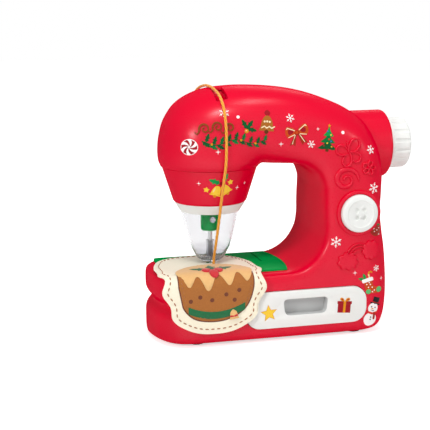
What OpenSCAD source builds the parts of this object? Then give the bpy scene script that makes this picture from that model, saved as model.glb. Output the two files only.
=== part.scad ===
// Battery toy sewing machine: C-shaped moulded housing, needle drive, drawer and spool.
// X runs along the bed to the hand wheel, Y from front to back, Z up; millimetres.

/* [Housing] */
// Half depth of the bed and the foot of the column
half_depth = 48.5; // [46.5:0.5:51]
// Half depth of the arm
arm_half = 42.5; // [41.5:0.5:44]
// Wall of the moulded shells
wall = 2.5; // [2:0.1:3]
// Distance from the origin to the left end of the bed
bed_left = 115; // [110:1:120]
// Top of the moulded bed, under the needle plate's rim
bed_top = 58.5; // [57:0.5:61]
// Underside of the arm
arm_under = 147; // [145:0.5:150]
// Highest point of the arm
arm_top = 212; // [208:1:216]
// Upright inner wall of the throat
throat_x = 28.5; // [26:0.5:31]
// Outer face of the column
column_x = 88; // [86:1:92]
// Radius where the arm meets the column in the throat
throat_top_r = 15; // [12:1:18]
// Radius where the column meets the bed in the throat
throat_low_r = 35; // [30:1:40]
// Depth of the waist groove round the left end
groove_depth = 5.5; // [3:0.5:7]
// Height of the waist groove's middle
groove_z = 33; // [30:0.5:36]

/* [Head] */
// Needle axis, measured along the bed
needle_x = -60.5; // [-62:0.5:-59]
// Radius of the head's open lower rim
rim_r = 41.3; // [40.5:0.1:42.5]
// Height of the rim above the table
rim_z = 145.5; // [144:0.5:146.5]
// Radius at the top of the tapered skirt
skirt_top_r = 40.3; // [39.8:0.1:40.8]
// Radius at the foot of the tapered skirt
skirt_low_r = 30.5; // [29:0.5:32]
// Height of the skirt's foot
skirt_z = 115; // [113:0.5:117]
// Width of the thread notch in the crown
notch_w = 6; // [5:0.5:8]
// Radius of the clear guard at its mouth
guard_r = 24.6; // [23.5:0.1:25.2]
// Lowest point of the clear guard
guard_z = 64; // [63:0.5:66]

/* [Drive] */
// Diameter of the main shaft
shaft_d = 6; // [5:0.5:7]
// Height of the main shaft above the arm's underside
shaft_rise = 11; // [10:0.5:12]
// Throw of the needle crank
crank_throw = 8.5; // [7:0.5:8.5]
// Teeth of the main gear
gear_teeth = 36; // [30:6:36]
// Teeth of the motor pinion
pinion_teeth = 12; // [12:1:12]
// Gear module
gear_module = 1; // [0.9:0.05:1]
// Radius of both belt pulleys
pulley_r = 7; // [6:0.5:7]
// Diameter of the needle bar
bar_d = 6; // [5:0.5:6.5]
// Radius of the hand wheel
wheel_r = 22.5; // [20:0.5:25]
// Flutes round the hand wheel
wheel_flutes = 16; // [12:1:20]
// Length of the hand wheel
wheel_w = 19.5; // [16:0.5:22]
// Radius of the boss behind the hand wheel
boss_r = 29; // [28:0.5:30]
// End face of the boss
boss_x = 95; // [94:0.5:97]

/* [Controls and drawer] */
// Diameter of the power button
button_d = 32; // [28:0.5:33]
// Travel of the power button
button_travel = 3; // [2:0.5:3.5]
// Length of the drawer's front panel
drawer_w = 106.4; // [100:0.2:110]
// Height of the drawer's front panel
drawer_h = 31; // [29:0.5:32]
// How far the drawer pulls out
drawer_travel = 60; // [40:5:64]

/* [Thread and work] */
// Diameter of the yarn
yarn_d = 2.4; // [2:0.1:2.4]
// Radius of the spool's flanges
spool_r = 12; // [11:0.5:14]
// Thickness of the felt patch
felt_t = 2; // [1.5:0.1:2.2]

/* [Hidden] */
$fn = 64;
red = "#e40032";
white = "#f3f3ee";
green = "#009a46";
grey = "#9a9ca0";
steel = "#b9bcc0";
far = 400;
fit = 0.05;
gap = 0.3;
seat_gap = 0.2;

// Heights and places worked out from the sizes above
base_z = 1.5;
pivot_x = needle_x + rim_r;
head_r = rim_r + 2.3;
shaft_z = arm_under + shaft_rise;
lower_z = bed_top - 8;
end_x = -bed_left;
end_centre = end_x + 33;
end_r = 33;
end_power = 2.3;
plate_t = 2.5;
plate_z = bed_top + 1.5;
cover_t = 2.7;
floor_z = base_z + cover_t + 1.5;
inner_depth = half_depth - wall;

// Housing loft: each row has a throat point, an outer point, a half depth and two edge powers
function mix(a, b, f) = a + (b - a) * f;
function depth(f) = mix(arm_half, half_depth, f);
function high_arc(a) = [throat_x - throat_top_r + throat_top_r * cos(a),
    arm_under - throat_top_r + throat_top_r * sin(a)];
function low_arc(a) = [throat_x - throat_low_r + throat_low_r * cos(a),
    bed_top + throat_low_r - throat_low_r * sin(a)];
function row(inner, outer, d, n_in, n_out) = [inner[0], inner[1], outer[0], outer[1], d, n_in, n_out];
arm_left = pivot_x + 2;
arm_step = (throat_x - throat_top_r - arm_left) / 6;
bed_right = throat_x - throat_low_r;
bed_step = (bed_right - end_centre) / 75;
rows = [
    row([pivot_x, rim_z], [needle_x - rim_r, rim_z], rim_r, 2, 2),
    row([pivot_x, rim_z + 0.7], [needle_x - head_r + 0.3, rim_z + 5.5], head_r - 0.8, 2.05, 2),
    row([pivot_x + 0.4, rim_z + 1.1], [needle_x - head_r, rim_z + 15.5], head_r, 2.2, 2.05),
    row([pivot_x + 0.8, arm_under - 0.2], [needle_x - head_r + 1.5, rim_z + 27], head_r, 2.3, 2.05),
    row([pivot_x + 1.4, arm_under], [needle_x - head_r + 5.8, arm_top - 26.5], head_r - 0.3, 2.4, 2.1),
    row([arm_left, arm_under], [needle_x - 27, arm_top - 12.5], arm_half + 0.4, 2.6, 2.1),
    row([arm_left + 0.4 * arm_step, arm_under], [needle_x - 7.5, arm_top - 3], arm_half, 2.9, 2.15),
    row([arm_left + arm_step, arm_under], [needle_x + 16.5, arm_top], arm_half, 3.2, 2.2),
    row([arm_left + 2 * arm_step, arm_under], [needle_x + 40.5, arm_top - 0.4], arm_half, 3.5, 2.25),
    row([arm_left + 3.2 * arm_step, arm_under], [2, arm_top - 2.6], arm_half, 3.8, 2.3),
    row([arm_left + 4.5 * arm_step, arm_under], [22, arm_top - 6.8], depth(0.02), 4.2, 2.3),
    row([throat_x - throat_top_r, arm_under], [41, arm_top - 13.4], depth(0.07), 4.8, 2.35),
    row(high_arc(66), [58, arm_top - 21.4], depth(0.15), 5.5, 2.4),
    row(high_arc(40), [column_x - 15, arm_top - 33], depth(0.25), 6.5, 2.5),
    row(high_arc(14), [column_x - 5.5, arm_top - 50], depth(0.37), 8, 2.7),
    row([throat_x, arm_under - 21], [column_x - 1.4, 142], depth(0.48), 9, 2.9),
    row([throat_x, 116], [column_x - 2, 122], depth(0.6), 10, 3),
    row([throat_x, 105], [column_x - 3.4, 104], depth(0.72), 10, 3.1),
    row(low_arc(0), [column_x - 2.2, 88], depth(0.82), 10, 3.2),
    row(low_arc(20), [column_x - 0.4, 73], depth(0.92), 10, 3.4),
    row(low_arc(43), [column_x + 0.8, 57], depth(0.98), 10, 3.6),
    row(low_arc(64), [column_x + 1.2, 42], half_depth, 10, 3.9),
    row(low_arc(82), [column_x + 0.4, 28], half_depth, 10, 4.4),
    row([bed_right - 4.5 * bed_step, bed_top], [column_x - 2.4, 14], half_depth, 10, 5.2),
    row([bed_right - 11.5 * bed_step, bed_top], [column_x - 9, 4.5], half_depth, 10, 6.5),
    row([bed_right - 18.5 * bed_step, bed_top], [column_x - 22, base_z], half_depth, 10, 8),
    row([bed_right - 25.5 * bed_step, bed_top], [42, base_z], half_depth, 10, 9),
    row([bed_right - 34.5 * bed_step, bed_top], [8, base_z], half_depth, 10, 10),
    row([bed_right - 46.5 * bed_step, bed_top], [-30, base_z], half_depth, 10, 10),
    row([bed_right - 60.5 * bed_step, bed_top], [-60, base_z], half_depth, 10, 10),
    row([end_centre, bed_top], [end_centre, base_z], half_depth, 10, 10)];
last = len(rows) - 1;
function knot(i) = i < 0 ? 2 * rows[0] - rows[1] : i > last ? 2 * rows[last] - rows[last - 1] : rows[i];
function spline(a, b, c, d, f) =
    0.5 * (2 * b + (c - a) * f + (2 * a - 5 * b + 4 * c - d) * f * f + (3 * b - a - 3 * c + d) * f * f * f);
function station(u) = let (i = min(floor(u), last - 1))
    spline(knot(i - 1), knot(i), knot(i + 1), knot(i + 2), u - i);

// The left end closes on the parting plane as a rounded plan
function end_row(a, inset) = let (
        k = pow(sin(a), 2 / end_power),
        x = end_centre - (end_r - inset) * k,
        n = mix(10, 2, pow(a / 90, 6)))
    [x, bed_top - 2 * pow(k, 4), x, base_z + 3 * pow(k, 4),
     a >= 90 ? 0 : half_depth * pow(cos(a), 2 / end_power), n, n];

loft_n = 42;
end_n = 8;
ring_n = 18;
function raw_row(i, inset) = i <= loft_n ? station(last * i / loft_n) : end_row(90 * (i - loft_n) / end_n, inset);

// A row moved inwards by the wall, square to the outline it follows
function unit(v) = v / max(norm(v), 0.001);
function along(i, k) = let (a = raw_row(max(i - 1, 0), 0), b = raw_row(min(i + 1, loft_n), 0))
    unit([b[k] - a[k], b[k + 1] - a[k + 1]]);
function slant(i, k, dir) = i > loft_n ? 1 : let (t = along(i, k))
    min(max(abs(t[0] * dir[1] - t[1] * dir[0]), 0.55), 1);
function inset_row(i, inset) = let (
        r = raw_row(i, inset),
        dir = unit([r[2] - r[0], r[3] - r[1]]),
        a = i < 7 ? inset : inset / slant(i, 0, dir),
        b = inset / slant(i, 2, dir))
    [r[0] + dir[0] * a, r[1] + dir[1] * a, r[2] - dir[0] * b, r[3] - dir[1] * b,
     r[4] * (1 - inset / half_depth), r[5], r[6]];

function groove(p) = let (
        f = min(max((end_centre - 2 - p[0]) / 22, 0), 1),
        g = groove_depth * exp(-pow((p[2] - groove_z) / 5.5, 2)) * f * f * (3 - 2 * f),
        v = unit([end_centre - p[0], -p[1]]))
    [p[0] + g * v[0], p[1] + g * v[1], p[2]];
function section(r) = [for (k = [0 : ring_n]) let (
        a = 180 * k / ring_n,
        c = cos(a),
        s = k == 0 || k == ring_n ? 0 : sin(a),
        n = c > 0 ? r[6] : r[5],
        q = pow(pow(abs(c), n) + pow(abs(s), n), -1 / n))
    groove([(r[0] + r[2]) / 2 + (r[2] - r[0]) / 2 * q * c, -r[4] * q * s,
            (r[1] + r[3]) / 2 + (r[3] - r[1]) / 2 * q * c])];

// One half of the housing: an outer and an inner skin joined along the parting plane and the rim
rows_n = loft_n + end_n;
skin_n = (rows_n + 1) * (ring_n + 1);
function at(skin, i, k) = skin * skin_n + i * (ring_n + 1) + k;
function quad(a, b, c, d) = [[a, b, c], [a, c, d]];
// The first cell of a row is split across its other corners, so that no triangle lies in the parting plane
function cell(a, b, c, d, first) = first ? quad(b, c, d, a) : quad(a, b, c, d);
edge = concat([for (i = [0 : rows_n]) [i, 0]], [for (k = [1 : ring_n]) [rows_n, k]],
    [for (i = [rows_n - 1 : -1 : 0]) [i, ring_n]], [for (k = [ring_n - 1 : -1 : 1]) [0, k]]);
module half_shell() {
    points = [for (inset = [0, wall]) for (i = [0 : rows_n]) each section(inset_row(i, inset))];
    m = len(edge);
    faces = concat(
        [for (i = [0 : rows_n - 1]) for (k = [0 : ring_n - 1]) each concat(
            cell(at(0, i, k), at(0, i + 1, k), at(0, i + 1, k + 1), at(0, i, k + 1), k == 0),
            cell(at(1, i, k), at(1, i, k + 1), at(1, i + 1, k + 1), at(1, i + 1, k), k == 0))],
        [for (e = [0 : m - 1]) let (a = edge[e], b = edge[(e + 1) % m]) each [
            [at(0, a[0], a[1]), at(1, b[0], b[1]), at(0, b[0], b[1])],
            [at(0, a[0], a[1]), at(1, a[0], a[1]), at(1, b[0], b[1])]]]);
    polyhedron(points, faces, 4);
}

// Places on the middle line of a loft row, where the wall lies square to Y
function middle(u) = let (r = station(u)) [(r[0] + r[2]) / 2, (r[1] + r[3]) / 2, r[4]];
screw_rows = [7, 10, 19.2, last - 0.2];
post_r = 3.6;
screw_r = 1.4;

module along_x(x, y, z) translate([x, y, z]) rotate([0, 90, 0]) children();
module along_y(x, y, z) translate([x, y, z]) rotate([-90, 0, 0]) children();

// Boss behind the hand wheel, an open cup turned about the shaft
boss_in = 62;
boss_round = 3;
module boss_solid(grow, x0, x1)
    along_x(0, 0, shaft_z)
        rotate_extrude()
            polygon(concat([[0, x0], [boss_r + grow, x0]],
                [for (a = [0 : 15 : 90])
                    [boss_r + grow - boss_round + boss_round * cos(a), x1 - boss_round + boss_round * sin(a)]],
                [[0, x1]]));

// Power button places
button = [throat_x + 28, 106];
button_r = button_d / 2;
button_wall = depth(0.71);
ring_w = 3.2;
button_front = button_wall + 6.6;
ring_in = 8.5;

// Drawer places
drawer_x = 10.2;
drawer_z = 28.1;
drawer_face = half_depth + 1.5;
panel_t = 3;
panel_r = 12.5;
module rounded(w, h, r) {
    square([w - 2 * r, h], center = true);
    square([w, h - 2 * r], center = true);
    for (x = [-1, 1])
        for (y = [-1, 1])
            translate([x * (w / 2 - r), y * (h / 2 - r)])
                circle(r);
}
module front_plate(w, h, r, y0, y1)
    translate([drawer_x, y1, drawer_z])
        rotate([90, 0, 0])
            linear_extrude(y1 - y0)
                rounded(w, h, r);

// Needle plate outline, with a bowed right end
plate_x0 = -103;
plate_x1 = 2;
plate_half = 36;
plate_bow = 5;
bow_r = (plate_half * plate_half + plate_bow * plate_bow) / (2 * plate_bow);
module plate_outline(grow)
    intersection() {
        translate([(plate_x0 + plate_x1) / 2 + 10, 0])
            rounded(plate_x1 - plate_x0 + 20 + 2 * grow, 2 * plate_half + 2 * grow, 4);
        translate([plate_x1 + grow - bow_r, 0])
            circle(bow_r, $fn = 128);
        translate([plate_x0 - grow, -plate_half - grow])
            square([far, 2 * plate_half + 2 * grow]);
    }

// Opening in the foot that the base cover closes
cover_x0 = end_x + 12;
cover_x1 = column_x - 16;
cover_half = half_depth - 9;
cover_r = 26;
cover_lip = 1.5;
module cover_outline(grow)
    translate([(cover_x0 + cover_x1) / 2, 0])
        rounded(cover_x1 - cover_x0 + 2 * grow, 2 * cover_half + 2 * grow, cover_r + grow);

looper_r = 6;
module shell_cuts() {
    boss_solid(-wall, boss_in - 1, boss_x - wall);
    along_x(boss_x - 10, 0, shaft_z)
        cylinder(r = shaft_d / 2 + 1, h = 20);
    translate([0, 0, base_z - 10])
        linear_extrude(10 + wall + 1.2)
            cover_outline(seat_gap);
    translate([0, 0, base_z + wall])
        linear_extrude(4)
            cover_outline(cover_lip + seat_gap);
    translate([0, 0, plate_z - plate_t])
        linear_extrude(20)
            plate_outline(seat_gap);
    translate([needle_x, 0, bed_top - 8])
        cylinder(r = looper_r + 4, h = 20);
}
module post(u, sign)
    let (m = middle(u))
        translate([m[0], 0, m[1]])
            rotate([sign * 90, 0, 0])
                cylinder(r = post_r, h = m[2] - wall / 2);
module post_bore(u, sign, from, r)
    let (m = middle(u))
        translate([m[0], 0, m[1]])
            rotate([sign * 90, 0, 0])
                translate([0, 0, from])
                    cylinder(r = r, h = far);
module half_boss(sign)
    intersection() {
        boss_solid(0, boss_in, boss_x);
        translate([0, sign > 0 ? -far : 0, 0])
            cube([far, far, far]);
    }

screw_depth = 16;
notch_y = 28;
module front_shell()
    color(red)
        difference() {
            union() {
                half_shell();
                half_boss(1);
                along_y(button[0], -button_wall - 2, button[1])
                    cylinder(r = button_r + gap + ring_w, h = 2 + ring_in);
                for (u = screw_rows)
                    post(u, 1);
            }
            shell_cuts();
            along_y(button[0], -far, button[1])
                cylinder(r = button_r + gap, h = far - 20);
            front_plate(drawer_w + 1, drawer_h + 1, panel_r + 0.5, -far, -half_depth + 12);
            translate([needle_x - notch_w / 2 + 2.5, -notch_y, arm_top - 30])
                cube([notch_w, notch_y - 4, far]);
            for (u = screw_rows)
                let (m = middle(u))
                    translate([m[0], 1, m[1]])
                        rotate([90, 0, 0])
                            cylinder(r = screw_r, h = screw_depth);
        }

spool = [needle_x - 11.5, arm_top - 40];
pin_r = 3;
pin_root = head_r - 5;
module rear_shell()
    color(red)
        difference() {
            union() {
                mirror([0, 1, 0])
                    half_shell();
                half_boss(-1);
                for (u = screw_rows)
                    post(u, -1);
            }
            shell_cuts();
            along_y(spool[0], 20, spool[1])
                cylinder(r = pin_r + 1, h = far);
            for (u = screw_rows) {
                post_bore(u, -1, -1, screw_r);
                post_bore(u, -1, middle(u)[2] - 5, screw_r + 1.4);
            }
        }

// Foot of the machine
bay = [-100, -46];
bay_half = 26;
cell_d = 14.2;
cell_l = 50;
cell_pitch = 15.6;
cell_count = 3;
cell_z = floor_z + 1 + cell_d / 2;
door_lip = 3;
module base_cover()
    color(red)
        difference() {
            union() {
                translate([0, 0, base_z])
                    linear_extrude(cover_t)
                        cover_outline(0);
                translate([0, 0, base_z + wall + seat_gap])
                    linear_extrude(floor_z - base_z - wall - seat_gap)
                        cover_outline(cover_lip);
            }
            translate([bay[0] + door_lip, -bay_half + door_lip, base_z - 1])
                cube([bay[1] - bay[0] - 2 * door_lip, 2 * bay_half - 2 * door_lip, 20]);
        }
module battery_door()
    color(red)
        difference() {
            translate([bay[0] + door_lip + seat_gap, -bay_half + door_lip + seat_gap, base_z])
                cube([bay[1] - bay[0] - 2 * (door_lip + seat_gap), 2 * (bay_half - door_lip - seat_gap),
                    floor_z - base_z]);
            for (y = [-12 : 4 : 12])
                translate([bay[1] - 14, y, base_z - 0.5])
                    cube([6, 2, 1.5]);
        }
bay_wall = 1.6;
bay_top = cell_z + cell_d / 2 + 2.4;
module battery_box()
    color("#3a3b3e")
        difference() {
            translate([bay[0], -bay_half, floor_z])
                cube([bay[1] - bay[0], 2 * bay_half, bay_top - floor_z]);
            translate([bay[0] + bay_wall, -bay_half + bay_wall, floor_z - 1])
                cube([bay[1] - bay[0] - 2 * bay_wall, 2 * (bay_half - bay_wall), bay_top - floor_z - 0.6]);
        }
contact_t = 0.4;
module battery_cells()
    color("#c9a227")
        for (i = [0 : cell_count - 1])
            along_x((bay[0] + bay[1] - cell_l) / 2, (i - (cell_count - 1) / 2) * cell_pitch, cell_z) {
                cylinder(d = cell_d, h = cell_l - 1);
                cylinder(d = 5.4, h = cell_l);
            }
module battery_contacts()
    color(steel)
        for (x = [bay[0] + bay_wall, bay[1] - bay_wall - contact_t])
            for (i = [0 : cell_count - 1])
                translate([x, (i - cell_count / 2) * cell_pitch + 1, floor_z + 2])
                    cube([contact_t, cell_pitch - 2, cell_d - 3]);
foot_r = 6;
module rubber_feet()
    color("#2b2b2d")
        for (p = [[cover_x0 + 22, bay_half + 5], [cover_x1 - 14, bay_half + 5]])
            for (s = [-1, 1])
                translate([p[0], s * p[1], 0])
                    cylinder(r = foot_r, h = base_z);
module case_screws()
    color(steel)
        for (u = screw_rows)
            let (m = middle(u))
                translate([m[0], 0, m[1]])
                    rotate([-90, 0, 0])
                        difference() {
                            union() {
                                translate([0, 0, -screw_depth + 3])
                                    cylinder(r = screw_r - fit, h = m[2] - 5 + screw_depth - 3);
                                translate([0, 0, m[2] - 5])
                                    cylinder(r = screw_r + 1.3, h = 2);
                            }
                            for (a = [0, 90])
                                rotate(a)
                                    translate([-1.8, -0.3, m[2] - 4])
                                        cube([3.6, 0.6, 2]);
                        }

// Head parts turned about the needle axis
module turned(points)
    translate([needle_x, 0, 0])
        rotate_extrude($fn = 96)
            polygon(points);
skirt_wall = 2.2;
spigot_r = rim_r * (1 - wall / half_depth) - 0.8;
web_z = 128;
guide_r = 5.5;
module head_skirt()
    color(red)
        turned(concat([
            [guide_r, web_z], [guide_r, web_z + 9], [guide_r + 2.5, web_z + 9], [guide_r + 2.5, web_z + 2.5],
            [mix(skirt_top_r, skirt_low_r, 0.45) - skirt_wall - 1, web_z + 2.5],
            [spigot_r - 2, rim_z - 3], [spigot_r - 2, rim_z + 5], [spigot_r, rim_z + 5],
            [spigot_r, rim_z - seat_gap - 0.1], [skirt_top_r, rim_z - seat_gap - 0.1]],
            [for (a = [0 : 15 : 90]) [skirt_low_r - 2 + 2 * cos(a), skirt_z + 2 - 2 * sin(a)]],
            [[guard_r + 2.5, skirt_z], [guard_r + 2.5, skirt_z + skirt_wall],
             [mix(skirt_top_r, skirt_low_r, 0.9) - skirt_wall - 0.5, skirt_z + skirt_wall],
             [mix(skirt_top_r, skirt_low_r, 0.6) - skirt_wall - 0.5, web_z]]));
collar_z = 107;
module guard_collar()
    color(white)
        turned([[guard_r + 0.6, collar_z], [guard_r + 2.2, collar_z + 2.6], [skirt_low_r - 0.9, skirt_z - 1],
            [skirt_low_r - 0.9, skirt_z], [guard_r + 2.3, skirt_z], [guard_r + 2.3, skirt_z + 4],
            [guard_r + 0.2, skirt_z + 4], [guard_r + 0.2, collar_z]]);
guard_wall = 1.4;
guard_hole = 4.2;
// Cup profile: radius against height, from the mouth to the rounded foot
function cup(inset) = [[guard_r - inset, skirt_z + 2], [guard_r - inset, collar_z], [guard_r - 4.2 - inset, 88],
    [guard_r - 7.4 - inset, 77], [guard_r - 9.8 - inset, guard_z + 8.5], [guard_r - 12.6 - inset, guard_z + 3.2 + inset * 0.4],
    [guard_r - 16 - inset, guard_z + inset]];
module needle_guard()
    color("#d5d9dc", 0.6)
        turned(concat([[guard_hole, guard_z]], [for (i = [6 : -1 : 0]) cup(0)[i]],
            [for (i = [0 : 6]) cup(guard_wall)[i]], [[guard_hole, guard_z + guard_wall]]));
module needle_plate()
    color(green)
        translate([0, 0, plate_z - plate_t])
            linear_extrude(plate_t)
                difference() {
                    plate_outline(0);
                    translate([needle_x, 0])
                        circle(2.4);
                    translate([needle_x + 44.5, -2])
                        square([1.5, 35]);
                }

// Frame that carries the drive, a C-shaped plate behind the shafts
frame_y = 24;
frame_t = 3;
arm_low = arm_under + 7;
arm_high = shaft_z + 13;
frame_x0 = needle_x - 9;
frame_x1 = boss_in - 2;
column_in = throat_x + 5.5;
column_out = throat_x + 21.5;
guide_z = shaft_z + 20;
main_brackets = [needle_x + 23, needle_x + 73, frame_x1 - 5];
low_brackets = [needle_x + 17, throat_x];
bracket_t = 5;
bush_r = shaft_d / 2 + 1.6;
low_shaft_r = 2;
low_bush_r = low_shaft_r + 1.4;
motor_y = 14;
gear_r = gear_teeth * gear_module / 2;
pinion_r = pinion_teeth * gear_module / 2;
mesh_dist = gear_r + pinion_r;
motor_z = shaft_z + sqrt(mesh_dist * mesh_dist - motor_y * motor_y);
mesh_angle = atan2(motor_z - shaft_z, motor_y);
motor_r = 10;
motor_l = 24;
motor_x = 22;
gear_x = motor_x + motor_l + 2;
gear_w = 5;
belt_x = motor_x + 16;
belt_w = 2.8;
pulley_w = 6;
switch_y = -button_front + 24;
module inner_frame()
    color("#d9dad6")
        difference() {
            union() {
                translate([0, frame_y + frame_t, 0])
                    rotate([90, 0, 0])
                        linear_extrude(frame_t)
                            union() {
                                translate([frame_x0, arm_low])
                                    square([frame_x1 - frame_x0, arm_high - arm_low]);
                                translate([frame_x0, arm_low])
                                    square([18, guide_z + 4 - arm_low]);
                                translate([column_in, lower_z - 6])
                                    square([column_out - column_in, arm_high - lower_z + 6]);
                                translate([column_in, button[1] - 7])
                                    square([frame_x1 + 1 - column_in, 14]);
                                translate([low_brackets[0] - 4, lower_z - 6])
                                    square([column_out - low_brackets[0] + 4, 11]);
                                translate([motor_x + 4, arm_low])
                                    square([motor_l - 8, motor_z + 8 - arm_low]);
                            }
                for (x = main_brackets)
                    translate([x, -bush_r - 3, shaft_z - bush_r - 2.5])
                        cube([bracket_t, frame_y + bush_r + 3.5, 2 * bush_r + 5]);
                for (x = low_brackets)
                    translate([x, -low_bush_r - 2.5, lower_z - low_bush_r - 2])
                        cube([bracket_t, frame_y + low_bush_r + 3, 2 * low_bush_r + 3.5]);
                translate([needle_x - 7, -7, guide_z])
                    cube([14, frame_y + 7.5, 4]);
                translate([button[0] - 4, switch_y + 8, button[1] - 5])
                    cube([8, frame_y - switch_y - 7.5, 10]);
                for (p = [[0, arm_low + 8, arm_half - 1.6], [column_in + 10, 120, depth(0.6)],
                        [low_brackets[0] + 14, lower_z - 3, half_depth]])
                    along_y(p[0], frame_y + frame_t - 0.5, p[1])
                        cylinder(r = 3, h = p[2] - wall - 1.3 - frame_y - frame_t + 0.5);
            }
            for (x = main_brackets)
                along_x(x - 1, 0, shaft_z)
                    cylinder(r = bush_r, h = bracket_t + 2);
            for (x = low_brackets)
                along_x(x - 1, 0, lower_z)
                    cylinder(r = low_bush_r, h = bracket_t + 2);
            translate([needle_x, 0, guide_z - 1])
                cylinder(r = guide_r, h = 6);
        }
module shaft_bushes()
    color("#b87333")
        for (x = main_brackets)
            along_x(x, 0, shaft_z)
                difference() {
                    cylinder(r = bush_r, h = bracket_t);
                    translate([0, 0, -1])
                        cylinder(r = shaft_d / 2 + fit, h = bracket_t + 2);
                }
module lower_bushes()
    color("#b87333")
        for (x = low_brackets)
            along_x(x, 0, lower_z)
                difference() {
                    cylinder(r = low_bush_r, h = bracket_t);
                    translate([0, 0, -1])
                        cylinder(r = low_shaft_r + fit, h = bracket_t + 2);
                }
module bar_guides()
    color("#b87333")
        for (g = [[web_z, 9], [guide_z, 4]])
            translate([needle_x, 0, g[0]])
                difference() {
                    cylinder(r = guide_r, h = g[1]);
                    translate([0, 0, -1])
                        cylinder(r = bar_d / 2 + fit, h = g[1] + 2);
                }
module motor()
    color(grey)
        along_x(motor_x, motor_y, motor_z)
            difference() {
                intersection() {
                    cylinder(r = motor_r, h = motor_l);
                    translate([-motor_r, -2 * motor_r + frame_y - motor_y, 0])
                        cube([2 * motor_r, 2 * motor_r, motor_l]);
                }
                translate([0, 0, motor_l - 8])
                    cylinder(r = 1 + fit, h = 10);
            }
belt_t = 1.2;
module belt_loop(r) {
    translate([0, shaft_z])
        circle(r);
    translate([0, lower_z])
        circle(r);
    translate([-r, lower_z])
        square([2 * r, shaft_z - lower_z]);
}
module drive_belt()
    color("#2b2b2d")
        translate([belt_x - belt_w / 2, 0, 0])
            rotate([90, 0, 90])
                linear_extrude(belt_w)
                    difference() {
                        belt_loop(pulley_r + 0.1 + belt_t);
                        belt_loop(pulley_r + 0.1);
                    }
spring_r = 5;
module button_switch()
    color("#3a3b3e")
        along_y(button[0], switch_y, button[1]) {
            translate([-6, -6, 0])
                cube([12, 12, 8]);
            translate([0, 0, -2])
                cylinder(r = 2.4, h = 2.5);
        }
flange_y = button_wall - ring_in - gap;
flange_t = 1.5;
spring_l = switch_y + flange_y - flange_t - gap;
module button_spring()
    color(steel)
        along_y(button[0], switch_y - spring_l, button[1])
            difference() {
                cylinder(r = spring_r, h = spring_l);
                translate([0, 0, -1])
                    cylinder(r = spring_r - 1, h = spring_l + 2);
            }
spool_w = 10.5;
spool_y = head_r + 0.8;
module spool_pin()
    color(red)
        along_y(spool[0], pin_root, spool[1]) {
            cylinder(r = pin_r + 0.9, h = spool_y - gap - pin_root);
            cylinder(r = pin_r, h = spool_y + spool_w + 0.8 - pin_root);
            translate([0, 0, spool_y + spool_w + gap - pin_root])
                cylinder(r = pin_r + 1.2, h = 0.8);
        }
tray_x = [drawer_x - 44, drawer_x + 44];
tray_z = [floor_z + 9, drawer_z + 12.5];
tray_y = 22;
tray_wall = 1.8;
rail_w = 4;
module drawer_runners()
    color("#d9dad6")
        for (s = [0, 1])
            union() {
                translate([s == 0 ? tray_x[0] + 2 : tray_x[1] - 2 - rail_w, -inner_depth + 8, floor_z])
                    cube([rail_w, inner_depth - 8 + tray_y + 2, tray_z[0] - gap - floor_z]);
                translate([s == 0 ? tray_x[0] - gap - 2 : tray_x[1] + gap, -inner_depth + 8, floor_z])
                    cube([2, inner_depth - 8 + tray_y + 2, 20]);
                translate([s == 0 ? tray_x[0] - gap - 1 : tray_x[1] - 2 - rail_w, -inner_depth + 8, floor_z])
                    cube([rail_w + 2 + gap + 1, inner_depth - 8 + tray_y + 2, 2]);
            }

// A round tube swept along hand-set points
function tube_dir(p, i) = let (n = len(p) - 1) unit(p[min(i + 1, n)] - p[max(i - 1, 0)]);
function turn_side(d, v) = unit(v - d * (v * d));
function tube_sides(p, i, v) = let (d = tube_dir(p, i), s = turn_side(d, v))
    i == len(p) - 1 ? [s] : concat([s], tube_sides(p, i + 1, s));
module tube(p, r, sides) {
    side = tube_sides(p, 0, turn_side(tube_dir(p, 0), [0.3, 0.2, 1]));
    n = len(p);
    points = [for (i = [0 : n - 1]) for (k = [0 : sides - 1]) let (a = 360 * k / sides)
        p[i] + r * (cos(a) * side[i] + sin(a) * cross(tube_dir(p, i), side[i]))];
    polyhedron(points, concat(
        [for (i = [0 : n - 2]) for (k = [0 : sides - 1]) let (a = i * sides + k, b = i * sides + (k + 1) % sides)
            each [[a, b + sides, b], [a, a + sides, b + sides]]],
        [for (k = [1 : sides - 2]) [0, k, k + 1]],
        [for (k = [1 : sides - 2]) let (z = (n - 1) * sides) [z, z + k + 1, z + k]]), 4);
}
function smooth(p, steps) = let (n = len(p) - 1) [for (i = [0 : n * steps]) let (
        k = min(floor(i / steps), n - 1), f = i / steps - k,
        a = k == 0 ? 2 * p[0] - p[1] : p[k - 1],
        d = k + 2 > n ? 2 * p[n] - p[n - 1] : p[k + 2])
    spline(a, p[k], p[k + 1], d, f)];
yarn_route = [[-66, 50, 181], [-66, 44, 190], [-65, 36, 200], [-64, 24, 208.5], [-62, 10, 212.5],
    [-60, -3, 212.5], [-58.5, -13, 210], [-58, -22.5, 207], [-57.8, -30.8, 203], [-57.5, -37.8, 196],
    [-57.4, -42.8, 185.5], [-57.5, -44.9, 175], [-57.7, -45.6, 165], [-58, -45.6, 155], [-58.5, -43.8, 145],
    [-59.2, -39.2, 131], [-59.8, -34, 116], [-60, -30.2, 105.5], [-60.5, -25.2, 92], [-61, -20.8, 80],
    [-61.4, -17.4, 71.5], [-61.5, -15.6, 66.5], [-61.5, -15.4, 62.7]];
module thread_run()
    color("#f2a51e")
        tube(smooth(yarn_route, 3), yarn_d / 2, 8);
wind_r = spool_r - 3.4;
wind_turns = 2;
wind_pitch = yarn_d + 0.55;
wind_points = let (n = 24 * wind_turns) [for (i = [0 : n]) let (a = 360 * i / 24)
    [wind_r * cos(a), wind_r * sin(a), wind_pitch * (i / 24 - wind_turns / 2)]];
function lead(a, b) = a + unit(a - b) * yarn_d;
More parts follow.
